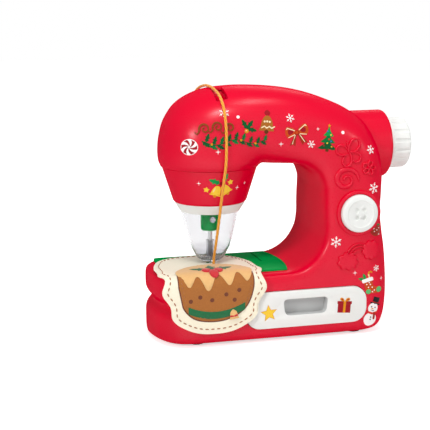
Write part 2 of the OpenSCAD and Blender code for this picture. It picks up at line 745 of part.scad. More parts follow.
module spool_winding()
    color("#f2a51e")
        along_y(spool[0], spool_y + spool_w / 2, spool[1])
            tube(concat([lead(wind_points[0], wind_points[1])], wind_points,
                [lead(wind_points[24 * wind_turns], wind_points[24 * wind_turns - 1])]), yarn_d / 2, 6);
echo(winding_gap = wind_pitch * cos(atan(wind_pitch / (2 * PI * wind_r))) - yarn_d);
cheek_t = 0.8;
module thread_spool()
    color(white)
        along_y(spool[0], spool_y, spool[1])
            difference() {
                union() {
                    cylinder(r = wind_r - yarn_d / 2 - 0.15, h = spool_w);
                    for (y = [0, spool_w - cheek_t])
                        translate([0, 0, y])
                            cylinder(r = spool_r, h = cheek_t);
                }
                translate([0, 0, -1])
                    cylinder(r = pin_r + fit, h = spool_w + 2);
            }

// Felt patch: a lobed outline laid on the plate and bent over the bed's front edge
felt_hole = 3.2;
felt_bend = 9;
felt_z = plate_z + gap;
felt_edge = half_depth + 3 - felt_bend;
felt_back = 25;
felt_length = 120;
felt_half = 43;
felt_x = -70;
felt_cols = 10;
felt_flat_rows = 8;
felt_bend_rows = 6;
felt_hang_rows = 10;
bend_length = felt_bend * PI / 2;
hang_start = felt_back + felt_edge + bend_length;
// Distance of each row from the patch's back edge, closest where the felt bends
felt_rows = concat([for (i = [0 : felt_flat_rows - 1]) 0.8 + (felt_back + felt_edge - 0.8) * i / felt_flat_rows],
    [for (i = [0 : felt_bend_rows - 1]) felt_back + felt_edge + bend_length * i / felt_bend_rows],
    [for (i = [0 : felt_hang_rows]) mix(hang_start, felt_length - 0.8, i / felt_hang_rows)]);
felt_n = len(felt_rows);
function felt_width(s) = let (f = 2 * s / felt_length - 1)
    felt_half * pow(1 - pow(abs(f), 3), 1 / 2.6) * (1 + 0.05 * cos(900 * f));
function felt_point(s, f, lift) = let (
        x = felt_x + f * felt_width(s),
        b = s - felt_back - felt_edge,
        a = min(max(b / felt_bend * 180 / PI, 0), 90),
        r = felt_bend + lift)
    [x, b <= 0 ? felt_back - s : -felt_edge - r * sin(a),
     felt_z - felt_bend + (b <= 0 ? r : r * cos(a)) - max(b - bend_length, 0)];
felt_skin = felt_n * (felt_cols + 1);
function felt_id(s, i, k) = s * felt_skin + i * (felt_cols + 1) + k;
felt_border = concat([for (i = [0 : felt_n - 1]) [i, 0]], [for (k = [1 : felt_cols]) [felt_n - 1, k]],
    [for (i = [felt_n - 2 : -1 : 0]) [i, felt_cols]], [for (k = [felt_cols - 1 : -1 : 1]) [0, k]]);
module felt_sheet()
    polyhedron([for (lift = [0, felt_t]) for (s = felt_rows) for (k = [0 : felt_cols])
            felt_point(s, 2 * k / felt_cols - 1, lift)],
        concat([for (i = [0 : felt_n - 2]) for (k = [0 : felt_cols - 1]) each concat(
                quad(felt_id(0, i, k), felt_id(0, i + 1, k), felt_id(0, i + 1, k + 1), felt_id(0, i, k + 1)),
                quad(felt_id(1, i, k), felt_id(1, i, k + 1), felt_id(1, i + 1, k + 1), felt_id(1, i + 1, k)))],
            [for (e = [0 : len(felt_border) - 1])
                let (a = felt_border[e], b = felt_border[(e + 1) % len(felt_border)])
                    each quad(felt_id(0, a[0], a[1]), felt_id(1, a[0], a[1]), felt_id(1, b[0], b[1]),
                        felt_id(0, b[0], b[1]))]), 4);
module felt_patch()
    color("#efe4c8")
        difference() {
            felt_sheet();
            translate([needle_x, 0, felt_z - 1])
                cylinder(r = felt_hole, h = felt_t + 2);
        }

// Main shaft body
wheel_x = boss_x + 0.6;
shaft_x0 = needle_x + 10.5;
module main_shaft()
    color(steel)
        along_x(shaft_x0, 0, shaft_z)
            cylinder(d = shaft_d, h = wheel_x + wheel_w - 6 - shaft_x0);
flute_r = 1.6;
module hand_wheel()
    color(white)
        along_x(wheel_x, 0, shaft_z)
            difference() {
                rotate_extrude()
                    polygon(concat([[shaft_d / 2, 0], [wheel_r - 1, 0], [wheel_r, 1], [wheel_r, 3], [wheel_r - 0.6, 3.6]],
                        [for (a = [0 : 15 : 90])
                            [wheel_r - 4.6 + 4 * cos(a), wheel_w - 4 + 4 * sin(a)]],
                        [[4, wheel_w], [4, wheel_w - 4], [shaft_d / 2, wheel_w - 4]]));
                for (i = [0 : wheel_flutes - 1])
                    rotate(360 * (i + 0.5) / wheel_flutes)
                        translate([wheel_r + 0.5, 0, 4])
                            cylinder(r = flute_r + 0.6, h = wheel_w);
            }
module wheel_screw()
    color(steel)
        along_x(wheel_x + wheel_w - 4, 0, shaft_z)
            difference() {
                cylinder(r = 3.4, h = 2.4);
                for (a = [0, 90])
                    rotate(a)
                        translate([-2, -0.4, 1.4])
                            cube([4, 0.8, 2]);
            }

// Involute teeth
pressure = 20;
backlash = 0.16;
function inv(a) = tan(a) - a * PI / 180;
function flank(rb, r) = inv(acos(min(rb / r, 1))) * 180 / PI;
function tooth(n, tip, root) = let (
        rp = n * gear_module / 2,
        rb = rp * cos(pressure),
        ra = rp + tip * gear_module,
        rf = rp - root * gear_module,
        half = 90 / n - backlash / rp * 90 / PI + inv(pressure) * 180 / PI,
        radii = [max(rb, rf), mix(max(rb, rf), ra, 0.35), mix(max(rb, rf), ra, 0.7), ra])
    concat([[rf, -half - 0.3 * (180 / n - half)]], [for (r = radii) [r, -half + flank(rb, r)]],
        [for (i = [3 : -1 : 0]) [radii[i], half - flank(rb, radii[i])]], [[rf, half + 0.3 * (180 / n - half)]]);
module gear2d(n, tip, root, turn)
    polygon([for (i = [0 : n - 1]) for (p = tooth(n, tip, root))
        [p[0] * cos(p[1] + 360 * i / n + turn), p[0] * sin(p[1] + 360 * i / n + turn)]]);
module drive_gear()
    color(white)
        translate([gear_x, 0, shaft_z])
            rotate([90, 0, 90])
                linear_extrude(gear_w)
                    difference() {
                        gear2d(gear_teeth, 0.9, 1.2, mesh_angle);
                        circle(d = shaft_d);
                        for (i = [0 : 4])
                            rotate(72 * i)
                                translate([gear_r * 0.58, 0])
                                    circle(r = gear_r * 0.17);
                    }
module motor_pinion()
    color("#c9a227")
        translate([0, motor_y, motor_z])
            rotate([90, 0, 90]) {
                translate([0, 0, gear_x])
                    linear_extrude(gear_w)
                        gear2d(pinion_teeth, 0.9, 1.2, mesh_angle + 180 / pinion_teeth + 180);
                translate([0, 0, motor_x + motor_l - 6])
                    cylinder(r = 1, h = gear_x - motor_x - motor_l + 7);
            }
crank_r = crank_throw + 4.5;
crank_t = 4;
pin_gap = 0.3;
yoke_x = needle_x + 3;
yoke_t = 4;
module crank_disc()
    color(grey)
        along_x(shaft_x0, 0, shaft_z)
            difference() {
                union() {
                    translate([0, 0, 0])
                        cylinder(r = crank_r, h = crank_t);
                    translate([crank_throw, 0, yoke_x + yoke_t + pin_gap - shaft_x0])
                        cylinder(r = 2.4, h = shaft_x0 - yoke_x - yoke_t - pin_gap + 1);
                }
                translate([0, 0, -1])
                    cylinder(d = shaft_d, h = crank_t + 2);
            }
module pulley(r)
    rotate_extrude()
        polygon([[r, 0], [pulley_r + 1.8, 0], [pulley_r + 1.8, 0.8], [pulley_r, 1.2], [pulley_r, pulley_w - 1.2],
            [pulley_r + 1.8, pulley_w - 0.8], [pulley_r + 1.8, pulley_w], [r, pulley_w]]);
module upper_pulley()
    color(white)
        along_x(belt_x - pulley_w / 2, 0, shaft_z)
            pulley(shaft_d / 2);
module lower_pulley()
    color(white)
        along_x(belt_x - pulley_w / 2, 0, lower_z)
            pulley(low_shaft_r);
looper_x = needle_x + 3.5;
looper_t = 3;
module lower_shaft()
    color(steel)
        along_x(looper_x, 0, lower_z)
            cylinder(r = low_shaft_r, h = belt_x + pulley_w / 2 + 2 - looper_x);
module looper_hook()
    color(steel)
        translate([looper_x, 0, lower_z])
            rotate([90, 0, 90])
                linear_extrude(looper_t)
                    difference() {
                        circle(looper_r);
                        circle(low_shaft_r);
                        difference() {
                            circle(looper_r - 1.4);
                            circle(low_shaft_r + 1.2);
                            translate([-far, -0.9])
                                square([far, 1.8]);
                        }
                        translate([0, 0.6])
                            square([far, far]);
                    }

// Needle body, drawn at the foot of its stroke
block_z = 90;
block_top = 107;
block_half = 7.1;
block_corner = block_half / cos(30);
bar_top = guide_z + 8;
yoke_z = shaft_z - crank_throw;
rod_r = 1.8;
rod_z = 80.5;
sleeve_z = 67.5;
needle_tip = bed_top - 11;
module needle_bar()
    color(steel)
        translate([needle_x, 0, block_top])
            cylinder(d = bar_d, h = bar_top - block_top);
slot_half = crank_throw + 2.4 + gap;
module needle_yoke()
    color(grey)
        difference() {
            union() {
                translate([needle_x - bar_d / 2 - 2, -bar_d / 2 - 2, yoke_z - 4.5])
                    cube([yoke_x - needle_x + bar_d / 2 + 2.5, bar_d + 4, 9]);
                translate([yoke_x, -slot_half - 3, yoke_z - 5.5])
                    cube([yoke_t, 2 * slot_half + 6, 11]);
            }
            translate([needle_x, 0, yoke_z - 10])
                cylinder(d = bar_d, h = 20);
            translate([yoke_x + 0.8, -slot_half, yoke_z - 2.7])
                cube([yoke_t, 2 * slot_half, 5.4]);
        }
module needle_block()
    color(green)
        translate([needle_x, 0, block_z])
            difference() {
                rotate(30)
                    cylinder(r = block_corner, h = block_top - block_z, $fn = 6);
                translate([0, 0, -1])
                    cylinder(r = rod_r, h = 6);
                along_y(0, -far, 10)
                    cylinder(r = 1.5, h = far - 3);
            }
module clamp_screw()
    color(steel)
        along_y(needle_x, -block_corner - 1.6, block_z + 10) {
            cylinder(r = 2.4, h = 1.6);
            cylinder(r = 1.5 - fit, h = block_corner - 3 + 1.6);
        }
module needle_sleeve()
    color("#d5d9dc", 0.6)
        translate([needle_x, 0, sleeve_z])
            difference() {
                cylinder(r = 3.5, h = rod_z + 0.5 - sleeve_z);
                translate([0, 0, -1])
                    cylinder(r = rod_r, h = 40);
            }
module needle()
    color(steel)
        translate([needle_x, 0, 0])
            difference() {
                union() {
                    translate([0, 0, sleeve_z])
                        cylinder(r = rod_r, h = block_z + 5 - sleeve_z);
                    translate([0, 0, needle_tip + 6])
                        cylinder(r = 0.9, h = sleeve_z - needle_tip - 5);
                    translate([0, 0, needle_tip])
                        cylinder(r1 = 0.15, r2 = 0.9, h = 6);
                }
                along_y(0, -5, needle_tip + 8)
                    cylinder(r = 0.35, h = 10);
            }

// Power button body
module power_button()
    color(white)
        along_y(button[0], -button_front, button[1])
            difference() {
                union() {
                    rotate_extrude()
                        polygon(concat([[0, 1], [11, 1], [11.6, 0.4], [12.4, 0.4], [13, 0.8]],
                            [for (a = [75 : -15 : 0]) [button_r - 2.5 + 2.5 * cos(a), 3.2 - 2.5 * sin(a)]],
                            [[button_r, button_front - flange_y], [button_r + gap + 1, button_front - flange_y],
                             [button_r + gap + 1, button_front - flange_y + flange_t],
                             [0, button_front - flange_y + flange_t]]));
                    cylinder(r = 3, h = button_front - flange_y + flange_t + 2);
                }
                for (a = [45 : 90 : 315])
                    rotate(a)
                        translate([4.6, 0, -1])
                            cylinder(r = 1.9, h = 3.2);
                translate([0, 0, button_front - flange_y + 0.5 - 8])
                    difference() {
                        cylinder(r = button_r - 2, h = 9.5);
                        cylinder(r = 8, h = 9.5);
                    }
            }

// Drawer body
pull = [40, 14, 9];
pull_x = drawer_x - 1;
pull_z = drawer_z + 1.5;
pull_wall = 1.6;
module pull_shape(grow)
    polygon([[-pull[0] / 2 - grow, pull[1] / 2 + grow], [pull[0] / 2 + grow, pull[1] / 2 + grow],
        [pull[0] / 2 - 2 + grow, -pull[1] / 2 - grow], [-pull[0] / 2 + 2 - grow, -pull[1] / 2 - grow]]);
module pull_block(grow, depth)
    translate([pull_x, -drawer_face + depth, pull_z])
        rotate([90, 0, 0])
            linear_extrude(depth + (grow > 0 ? -1 : 1))
                pull_shape(grow);
module drawer_front()
    color(white)
        difference() {
            union() {
                front_plate(drawer_w, drawer_h, panel_r, -drawer_face, -drawer_face + panel_t);
                pull_block(pull_wall, pull[2] + pull_wall);
            }
            pull_block(0, pull[2]);
        }
module drawer_tray()
    color(white)
        difference() {
            translate([tray_x[0], -drawer_face + panel_t, tray_z[0]])
                cube([tray_x[1] - tray_x[0], drawer_face - panel_t + tray_y, tray_z[1] - tray_z[0]]);
            translate([tray_x[0] + tray_wall, -drawer_face + panel_t - 1, tray_z[0] + tray_wall])
                cube([tray_x[1] - tray_x[0] - 2 * tray_wall, drawer_face - panel_t + tray_y + 1 - tray_wall, far]);
        }

front_shell();
rear_shell();
base_cover();
battery_box();
battery_door();
battery_cells();
battery_contacts();
rubber_feet();
case_screws();
head_skirt();
guard_collar();
needle_guard();
needle_plate();
inner_frame();
shaft_bushes();
lower_bushes();
bar_guides();
motor();
drive_belt();
button_switch();
button_spring();
spool_pin();
drawer_runners();
thread_run();
felt_patch();
hand_wheel();
main_shaft();
drive_gear();
crank_disc();
upper_pulley();
wheel_screw();
motor_pinion();
lower_shaft();
lower_pulley();
looper_hook();
needle_bar();
needle_yoke();
needle_block();
needle_sleeve();
needle();
clamp_screw();
power_button();
drawer_front();
drawer_tray();
thread_spool();
spool_winding();
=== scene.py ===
"""Toy sewing machine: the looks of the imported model. Lengths are in millimetres until a mesh is made."""
import math

import bmesh
import bpy
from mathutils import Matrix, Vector
from mathutils.bvhtree import BVHTree
from mathutils.geometry import delaunay_2d_cdt


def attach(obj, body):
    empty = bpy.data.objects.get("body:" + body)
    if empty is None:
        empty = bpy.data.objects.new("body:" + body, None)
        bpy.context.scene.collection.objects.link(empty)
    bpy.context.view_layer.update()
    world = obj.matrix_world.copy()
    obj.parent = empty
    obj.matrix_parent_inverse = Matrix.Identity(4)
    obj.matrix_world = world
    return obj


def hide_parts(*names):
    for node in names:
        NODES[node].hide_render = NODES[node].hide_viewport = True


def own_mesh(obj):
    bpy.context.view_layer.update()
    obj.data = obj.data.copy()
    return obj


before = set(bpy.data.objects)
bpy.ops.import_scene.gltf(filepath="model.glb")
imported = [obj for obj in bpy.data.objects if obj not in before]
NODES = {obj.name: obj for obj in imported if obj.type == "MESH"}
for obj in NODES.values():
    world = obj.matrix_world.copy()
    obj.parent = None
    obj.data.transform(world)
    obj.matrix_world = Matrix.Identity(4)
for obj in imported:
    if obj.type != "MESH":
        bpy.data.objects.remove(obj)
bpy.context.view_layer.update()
MM = 0.001
UP = Vector((0, 0, 1))


# Camera

VIEW_TURN = math.radians(17.1)
VIEW_PITCH = math.radians(10.8)
VIEW_TARGET = Vector((0, 0, 98.9)) * MM
VIEW_DISTANCE = 1206.9 * MM
LENS_MM, SENSOR_MM = 117.2, 36.0
FRAME_SHIFT = -0.1465
NEAREST = 50 * MM


def set_camera():
    """The photograph's camera: turned left of the front and looking down, its frame moved sideways."""
    look = Vector((math.sin(VIEW_TURN) * math.cos(VIEW_PITCH), math.cos(VIEW_TURN) * math.cos(VIEW_PITCH),
                   -math.sin(VIEW_PITCH)))
    camera = bpy.data.objects.new("camera", bpy.data.cameras.new("camera"))
    camera.data.lens = LENS_MM
    camera.data.sensor_width = SENSOR_MM
    camera.data.shift_x = FRAME_SHIFT
    camera.data.clip_start = NEAREST
    camera.location = VIEW_TARGET - look * VIEW_DISTANCE
    camera.rotation_euler = look.to_track_quat("-Z", "Y").to_euler()
    bpy.context.scene.collection.objects.link(camera)
    bpy.context.scene.camera = camera


# Small helpers

def colour(code):
    """An sRGB hex code as linear red, green, blue and full alpha."""
    channels = [int(code[i:i + 2], 16) / 255 for i in (1, 3, 5)]
    return tuple(c / 12.92 if c <= 0.04045 else ((c + 0.055) / 1.055) ** 2.4 for c in channels) + (1.0,)


def plug(node, inputs):
    """Sets a node's inputs; each is a value or another node's socket."""
    for key, value in inputs.items():
        if isinstance(value, bpy.types.NodeSocket):
            node.id_data.links.new(value, node.inputs[key])
        else:
            node.inputs[key].default_value = value


def add(tree, kind, inputs=None, **settings):
    """One node with its settings and its inputs."""
    node = tree.nodes.new(kind)
    for key, value in settings.items():
        setattr(node, key, value)
    plug(node, inputs or {})
    return node


def mix(a, b, f):
    """The value at share f of the way from a to b."""
    return a + (b - a) * f


def spline(a, b, c, d, f):
    """Catmull-Rom value between b and c."""
    return 0.5 * (2 * b + (c - a) * f + (2 * a - 5 * b + 4 * c - d) * f * f + (3 * b - a - 3 * c + d) * f ** 3)


def smooth_run(points, steps):
    """Points of a smooth curve through the given ones."""
    p = [Vector(x) for x in points]
    p = [2 * p[0] - p[1]] + p + [2 * p[-1] - p[-2]]
    run = [spline(*p[i:i + 4], k / steps) for i in range(len(p) - 3) for k in range(steps)]
    return run + [p[-2]]


def open_run(points, steps=6):
    """A smooth line in the plane through the given points."""
    return [(p[0], p[1]) for p in smooth_run([(x, y, 0) for x, y in points], steps)]


def closed_run(points, steps=6):
    """A smooth closed line in the plane through the given points."""
    run = open_run(points[-2:] + points + points[:2], steps)
    return run[2 * steps:-2 * steps + 1]


def new_object(name, mesh, material=None):
    """A piece in the scene with one mesh and, if given, one material."""
    piece = bpy.data.objects.new(name, mesh)
    bpy.context.scene.collection.objects.link(piece)
    if material:
        mesh.materials.clear()
        mesh.materials.append(material)
    return piece


def shade(mesh, angle=35):
    """Smooth shading that stays sharp at edges over the angle."""
    mesh.shade_smooth()
    mesh.set_sharp_from_angle(angle=math.radians(angle))


def build_mesh(name, points, faces, material=None, angle=35, recalc=True):
    """A piece from points in millimetres, with doubled points merged."""
    mesh = bpy.data.meshes.new(name)
    mesh.from_pydata([Vector(p) * MM for p in points], [], faces)
    shell = bmesh.new()
    shell.from_mesh(mesh)
    bmesh.ops.remove_doubles(shell, verts=shell.verts, dist=1e-7)
    bmesh.ops.dissolve_degenerate(shell, edges=shell.edges, dist=1e-8)
    if recalc:
        bmesh.ops.recalc_face_normals(shell, faces=shell.faces)
    shell.to_mesh(mesh)
    shell.free()
    shade(mesh, angle)
    return new_object(name, mesh, material)


def settle(piece, body, slot, *nodes):
    """The piece rides on a body and stands for the named solids; slot is not used."""
    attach(piece, body)
    if nodes:
        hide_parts(*nodes)
    return piece


def bands(rings, n, first=0, closed=False):
    """Quads between neighbouring rings of n points; closed joins the last ring to the first."""
    faces = []
    for i in range(rings if closed else rings - 1):
        low, high = first + i * n, first + (i + 1) % rings * n
        faces += [[low + k, low + (k + 1) % n, high + (k + 1) % n, high + k] for k in range(n)]
    return faces


def capped_bands(rings, n, first=0):
    """Quads between rings of n points, with a face over the first ring and one over the last."""
    last = first + (rings - 1) * n
    return bands(rings, n, first) + [list(range(first, first + n)), list(range(last, last + n))]


def rim_edges(cells):
    """The edges that only one of the cells has, in the cells' own direction."""
    edges = {(a, b): True for cell in cells for a, b in zip(cell, cell[1:] + cell[:1])}
    return [(a, b) for a, b in edges if (b, a) not in edges]


def plain_mesh(piece):
    """Applies the piece's modifiers, which leaves one plain mesh."""
    graph = bpy.context.evaluated_depsgraph_get()
    mesh = bpy.data.meshes.new_from_object(piece.evaluated_get(graph))
    piece.modifiers.clear()
    piece.data = mesh
    return mesh


def carve(piece, cutter, operation="DIFFERENCE"):
    """Cuts a piece by another one, joins that on or keeps what both share; the other one is used up."""
    change = piece.modifiers.new("cut", "BOOLEAN")
    change.operation, change.solver, change.object = operation, "MANIFOLD", cutter
    plain_mesh(piece)
    bpy.data.objects.remove(cutter)


def round_corners(outline, radius, steps=4):
    """A closed outline with its corners rounded; radius is one number or one per corner."""
    rounded, n = [], len(outline)
    for i in range(n):
        p, a, b = Vector(outline[i]), Vector(outline[i - 1]), Vector(outline[(i + 1) % n])
        r = radius[i] if hasattr(radius, "__len__") else radius
        reach_a, reach_b = (min(r, 0.48 * (q - p).length) for q in (a, b))
        if min(reach_a, reach_b) < 1e-3:
            rounded.append(tuple(p))
            continue
        start, end = p + (a - p).normalized() * reach_a, p + (b - p).normalized() * reach_b
        for f in (k / steps for k in range(steps + 1)):
            rounded.append(tuple((1 - f) ** 2 * start + 2 * f * (1 - f) * p + f * f * end))
    return rounded


def moved(outline, x=0.0, y=0.0, turn=0.0, size=1.0):
    """An outline scaled, turned by degrees and then moved."""
    c, s = math.cos(math.radians(turn)) * size, math.sin(math.radians(turn)) * size
    return [(x + a * c - b * s, y + a * s + b * c) for a, b in outline]


def rectangle(x0, x1, y0, y1):
    """The four corners, one after the other."""
    return [(x0, y0), (x0, y1), (x1, y1), (x1, y0)]


TURN_AXES = {"X": (Vector((1, 0, 0)), Vector((0, 1, 0)), Vector((0, 0, 1))),
             "Y": (Vector((0, 1, 0)), Vector((0, 0, 1)), Vector((1, 0, 0))),
             "Z": (Vector((0, 0, 1)), Vector((1, 0, 0)), Vector((0, 1, 0)))}


def turned(name, profile, centre, axis="Z", material=None, steps=128, angle=35):
    """A lathe-turned piece from a closed profile of radius and height."""
    along, side, across = TURN_AXES[axis]
    points = [Vector(centre) + along * h + (side * math.cos(a) + across * math.sin(a)) * r
              for a in (2 * math.pi * k / steps for k in range(steps)) for r, h in profile]
    return build_mesh(name, points, bands(steps, len(profile), closed=True), material, angle)


def bore(name, radius, low, high, centre, axis="Z", steps=48):
    """A plain round cutter."""
    return turned(name, [(0, low), (radius, low), (radius, high), (0, high)], centre, axis, steps=steps)


def prism(name, outline, low, high, axis="Z", material=None):
    """An outline in the plane across the axis, drawn out from low to high."""
    put = {"Z": lambda a, b, h: (a, b, h), "Y": lambda a, b, h: (a, h, b), "X": lambda a, b, h: (h, a, b)}[axis]
    points = [put(a, b, h) for h in (low, high) for a, b in outline]
    return build_mesh(name, points, capped_bands(2, len(outline)), material)


def rounded_box(width, height, radius, centre=(0, 0), steps=12):
    """A rectangle's outline with round corners."""
    outline = []
    for sx, sy, start in ((1, 1, 0), (-1, 1, 90), (-1, -1, 180), (1, -1, 270)):
        for k in range(steps + 1):
            a = math.radians(start + 90 * k / steps)
            outline.append((centre[0] + sx * (width / 2 - radius) + radius * math.cos(a),
                            centre[1] + sy * (height / 2 - radius) + radius * math.sin(a)))
    return outline


EDGE_ANGLE, EDGE_STEPS, FLAT_ANGLE = math.radians(38), 2, math.radians(0.6)


def refine(node, material, body, slot, width, mesh=None):
    """A copy of a solid, or a mesh made for it, with its edges softened; it stands for the solid."""
    mesh = mesh or NODES[node].data.copy()
    mesh.name = node + "_soft"
    shell = bmesh.new()
    shell.from_mesh(mesh)
    bmesh.ops.remove_doubles(shell, verts=shell.verts, dist=2e-6)
    bmesh.ops.dissolve_limit(shell, angle_limit=FLAT_ANGLE, verts=shell.verts, edges=shell.edges)
    shell.to_mesh(mesh)
    shell.free()
    piece = new_object(node + "_soft", mesh, material)
    soften = piece.modifiers.new("edges", "BEVEL")
    soften.width, soften.segments = width * MM, EDGE_STEPS
    soften.limit_method, soften.angle_limit = "ANGLE", EDGE_ANGLE
    soften.use_clamp_overlap = True
    plain_mesh(piece)
    piece.data.shade_smooth()
    piece.data.set_sharp_from_angle(angle=EDGE_ANGLE)
    return settle(piece, body, slot, node)


# Materials

# Sizes of the finishes' patterns. Mould grain, ink speckle, tool lines, wool and yarn fibres are finer on the real
# thing and wouldn't show, so they are drawn as coarse as they need to be.
TOOL_GRAIN_MM, CLOUD_MM, FLOW_MM, SPECKLE_MM = 0.6, 45.0, 14.0, 1.2
WOOL_FIBRE_MM, WOOL_TUFT_MM, YARN_FIBRE_MM = 1.6, 1.1, 1 / 2.2


def base_material(name):
    """A new material with its node tree and its surface shader."""
    material = bpy.data.materials.new(name)
    material.use_nodes = True
    tree = material.node_tree
    return material, tree, tree.nodes["Principled BSDF"]


def moulded(name, tint, deep, roughness, relief=0.02, shine=0.5):
    """Injection-moulded plastic: an even colour, faintly cloudy; the tool's fine texture dulls it at low angles."""
    material, tree, shader = base_material(name)
    place = add(tree, "ShaderNodeTexCoord").outputs["Object"]
    cloud = add(tree, "ShaderNodeTexNoise", {"Vector": place, "Scale": 1 / (CLOUD_MM * MM), "Detail": 2.0})
    tone = add(tree, "ShaderNodeMix", {0: cloud.outputs["Fac"], 6: colour(tint), 7: colour(deep)}, data_type="RGBA")
    grain = add(tree, "ShaderNodeTexNoise", {"Vector": place, "Scale": 1 / (TOOL_GRAIN_MM * MM), "Detail": 3.0})
    gloss = add(tree, "ShaderNodeMapRange", {"Value": grain.outputs["Fac"], "To Min": roughness - 0.04,
                                             "To Max": roughness + 0.05})
    bump = add(tree, "ShaderNodeBump", {"Height": grain.outputs["Fac"], "Strength": relief, "Distance": 0.2 * MM})
    lean = add(tree, "ShaderNodeLayerWeight", {"Blend": 0.5}).outputs["Facing"]
    square_on = add(tree, "ShaderNodeMath", {0: 1.0, 1: lean}, operation="SUBTRACT")
    fall = add(tree, "ShaderNodeMath", {0: square_on.outputs["Value"], 1: 4.0}, operation="POWER")
    sheen = add(tree, "ShaderNodeMath", {0: fall.outputs["Value"], 1: shine}, operation="MULTIPLY")
    plug(shader, {"Base Color": tone.outputs[2], "Roughness": gloss.outputs["Result"],
                  "Normal": bump.outputs["Normal"], "IOR": 1.53, "Specular IOR Level": shine})
    # The plain level above stands wherever a linked one isn't read.
    plug(shader, {"Specular IOR Level": sheen.outputs["Value"]})
    return material


GUARD_FOOT = (73.5, 77.5)


def clear_polystyrene():
    """Clear moulded polystyrene: see-through, a little grey, darker towards its foot, with faint flow marks."""
    material, tree, shader = base_material("clear_polystyrene")
    place = add(tree, "ShaderNodeTexCoord").outputs["Object"]
    flow = add(tree, "ShaderNodeTexNoise", {"Vector": place, "Scale": 1 / (FLOW_MM * MM), "Detail": 1.0})
    gloss = add(tree, "ShaderNodeMapRange", {"Value": flow.outputs["Fac"], "To Min": 0.08, "To Max": 0.18})
    height = add(tree, "ShaderNodeSeparateXYZ", {"Vector": place})
    band = add(tree, "ShaderNodeMapRange", {"Value": height.outputs["Z"], "From Min": GUARD_FOOT[0] * MM,
                                            "From Max": GUARD_FOOT[1] * MM})
    tone = add(tree, "ShaderNodeMix", {0: band.outputs["Result"], 6: colour("#D3D3D6"), 7: colour("#E6E6E7")},
               data_type="RGBA")
    plug(shader, {"Base Color": tone.outputs[2], "Roughness": gloss.outputs["Result"], "IOR": 1.2,
                  "Transmission Weight": 1.0})
    return material


def metal(name, tint, deep, roughness, brush_mm, stretch):
    """Turned or drawn metal: bright, with fine lines along the way it was worked."""
    material, tree, shader = base_material(name)
    place = add(tree, "ShaderNodeTexCoord").outputs["Object"]
    lines = add(tree, "ShaderNodeMapping", {"Vector": place, "Scale": stretch})
    brush = add(tree, "ShaderNodeTexNoise", {"Vector": lines.outputs["Vector"], "Scale": 1 / (brush_mm * MM),
                                             "Detail": 3.0})
    tone = add(tree, "ShaderNodeMix", {0: brush.outputs["Fac"], 6: colour(tint), 7: colour(deep)}, data_type="RGBA")
    gloss = add(tree, "ShaderNodeMapRange", {"Value": brush.outputs["Fac"], "To Min": roughness - 0.08,
                                             "To Max": roughness + 0.1})
    plug(shader, {"Base Color": tone.outputs[2], "Roughness": gloss.outputs["Result"], "Metallic": 1.0})
    return material


def printed_ink(name, tint, deep):
    """Pad-printed ink: a thin even film, a little less glossy than the plastic, with a fine speckle."""
    material, tree, shader = base_material("ink_" + name)
    place = add(tree, "ShaderNodeTexCoord").outputs["Object"]
    speckle = add(tree, "ShaderNodeTexNoise", {"Vector": place, "Scale": 1 / (SPECKLE_MM * MM), "Detail": 2.0})
    tone = add(tree, "ShaderNodeMix", {0: speckle.outputs["Fac"], 6: colour(tint), 7: colour(deep)},
               data_type="RGBA")
    plug(shader, {"Base Color": tone.outputs[2], "Roughness": 0.42, "Specular IOR Level": 0.12})
    return material


def spun_yarn():
    """Spun acrylic yarn: fine fibres along the twist, soft sheen, and painted shade between the plies."""
    material, tree, shader = base_material("spun_yarn")
    run = add(tree, "ShaderNodeUVMap", uv_map="run").outputs["UV"]
    lie = add(tree, "ShaderNodeMapping", {"Vector": run, "Rotation": (0, 0, math.radians(24)),
                                          "Scale": (0.35, 5.0, 1.0)})
    fibre = add(tree, "ShaderNodeTexNoise", {"Vector": lie.outputs["Vector"], "Scale": 1 / YARN_FIBRE_MM,
                                             "Detail": 4.0})
    ply = add(tree, "ShaderNodeAttribute", attribute_name="ply")
    tone = add(tree, "ShaderNodeMix", {0: fibre.outputs["Fac"], 6: colour("#FFBA35"), 7: colour("#F59F18")},
               data_type="RGBA")
    # Painted shade: the colour darkens towards deep orange between the plies
    depth = add(tree, "ShaderNodeMix", {0: ply.outputs["Fac"], 6: colour("#C0700F"), 7: tone.outputs[2]},
                data_type="RGBA")
    bump = add(tree, "ShaderNodeBump", {"Height": fibre.outputs["Fac"], "Strength": 0.5, "Distance": 0.2 * MM})
    plug(shader, {"Base Color": depth.outputs[2], "Normal": bump.outputs["Normal"], "Roughness": 0.78,
                  "Sheen Weight": 0.35})
    return material


def wool_felt(name, tint, deep):
    """Pressed wool felt: matted fibres of mixed tone with a soft fuzzy face."""
    material, tree, shader = base_material(name)
    place = add(tree, "ShaderNodeTexCoord").outputs["Object"]
    fibres = add(tree, "ShaderNodeTexNoise", {"Vector": place, "Scale": 1 / (WOOL_FIBRE_MM * MM), "Detail": 6.0,
                                              "Distortion": 1.5})
    tuft = add(tree, "ShaderNodeTexVoronoi", {"Vector": place, "Scale": 1 / (WOOL_TUFT_MM * MM)})
    tone = add(tree, "ShaderNodeMix", {0: fibres.outputs["Fac"], 6: colour(tint), 7: colour(deep)}, data_type="RGBA")
    height = add(tree, "ShaderNodeMath", {0: fibres.outputs["Fac"], 1: tuft.outputs["Distance"]}, operation="ADD")
    bump = add(tree, "ShaderNodeBump", {"Height": height.outputs["Value"], "Strength": 0.35, "Distance": 0.3 * MM})
    plug(shader, {"Base Color": tone.outputs[2], "Normal": bump.outputs["Normal"], "Roughness": 0.9,
                  "Sheen Weight": 0.3})
    return material


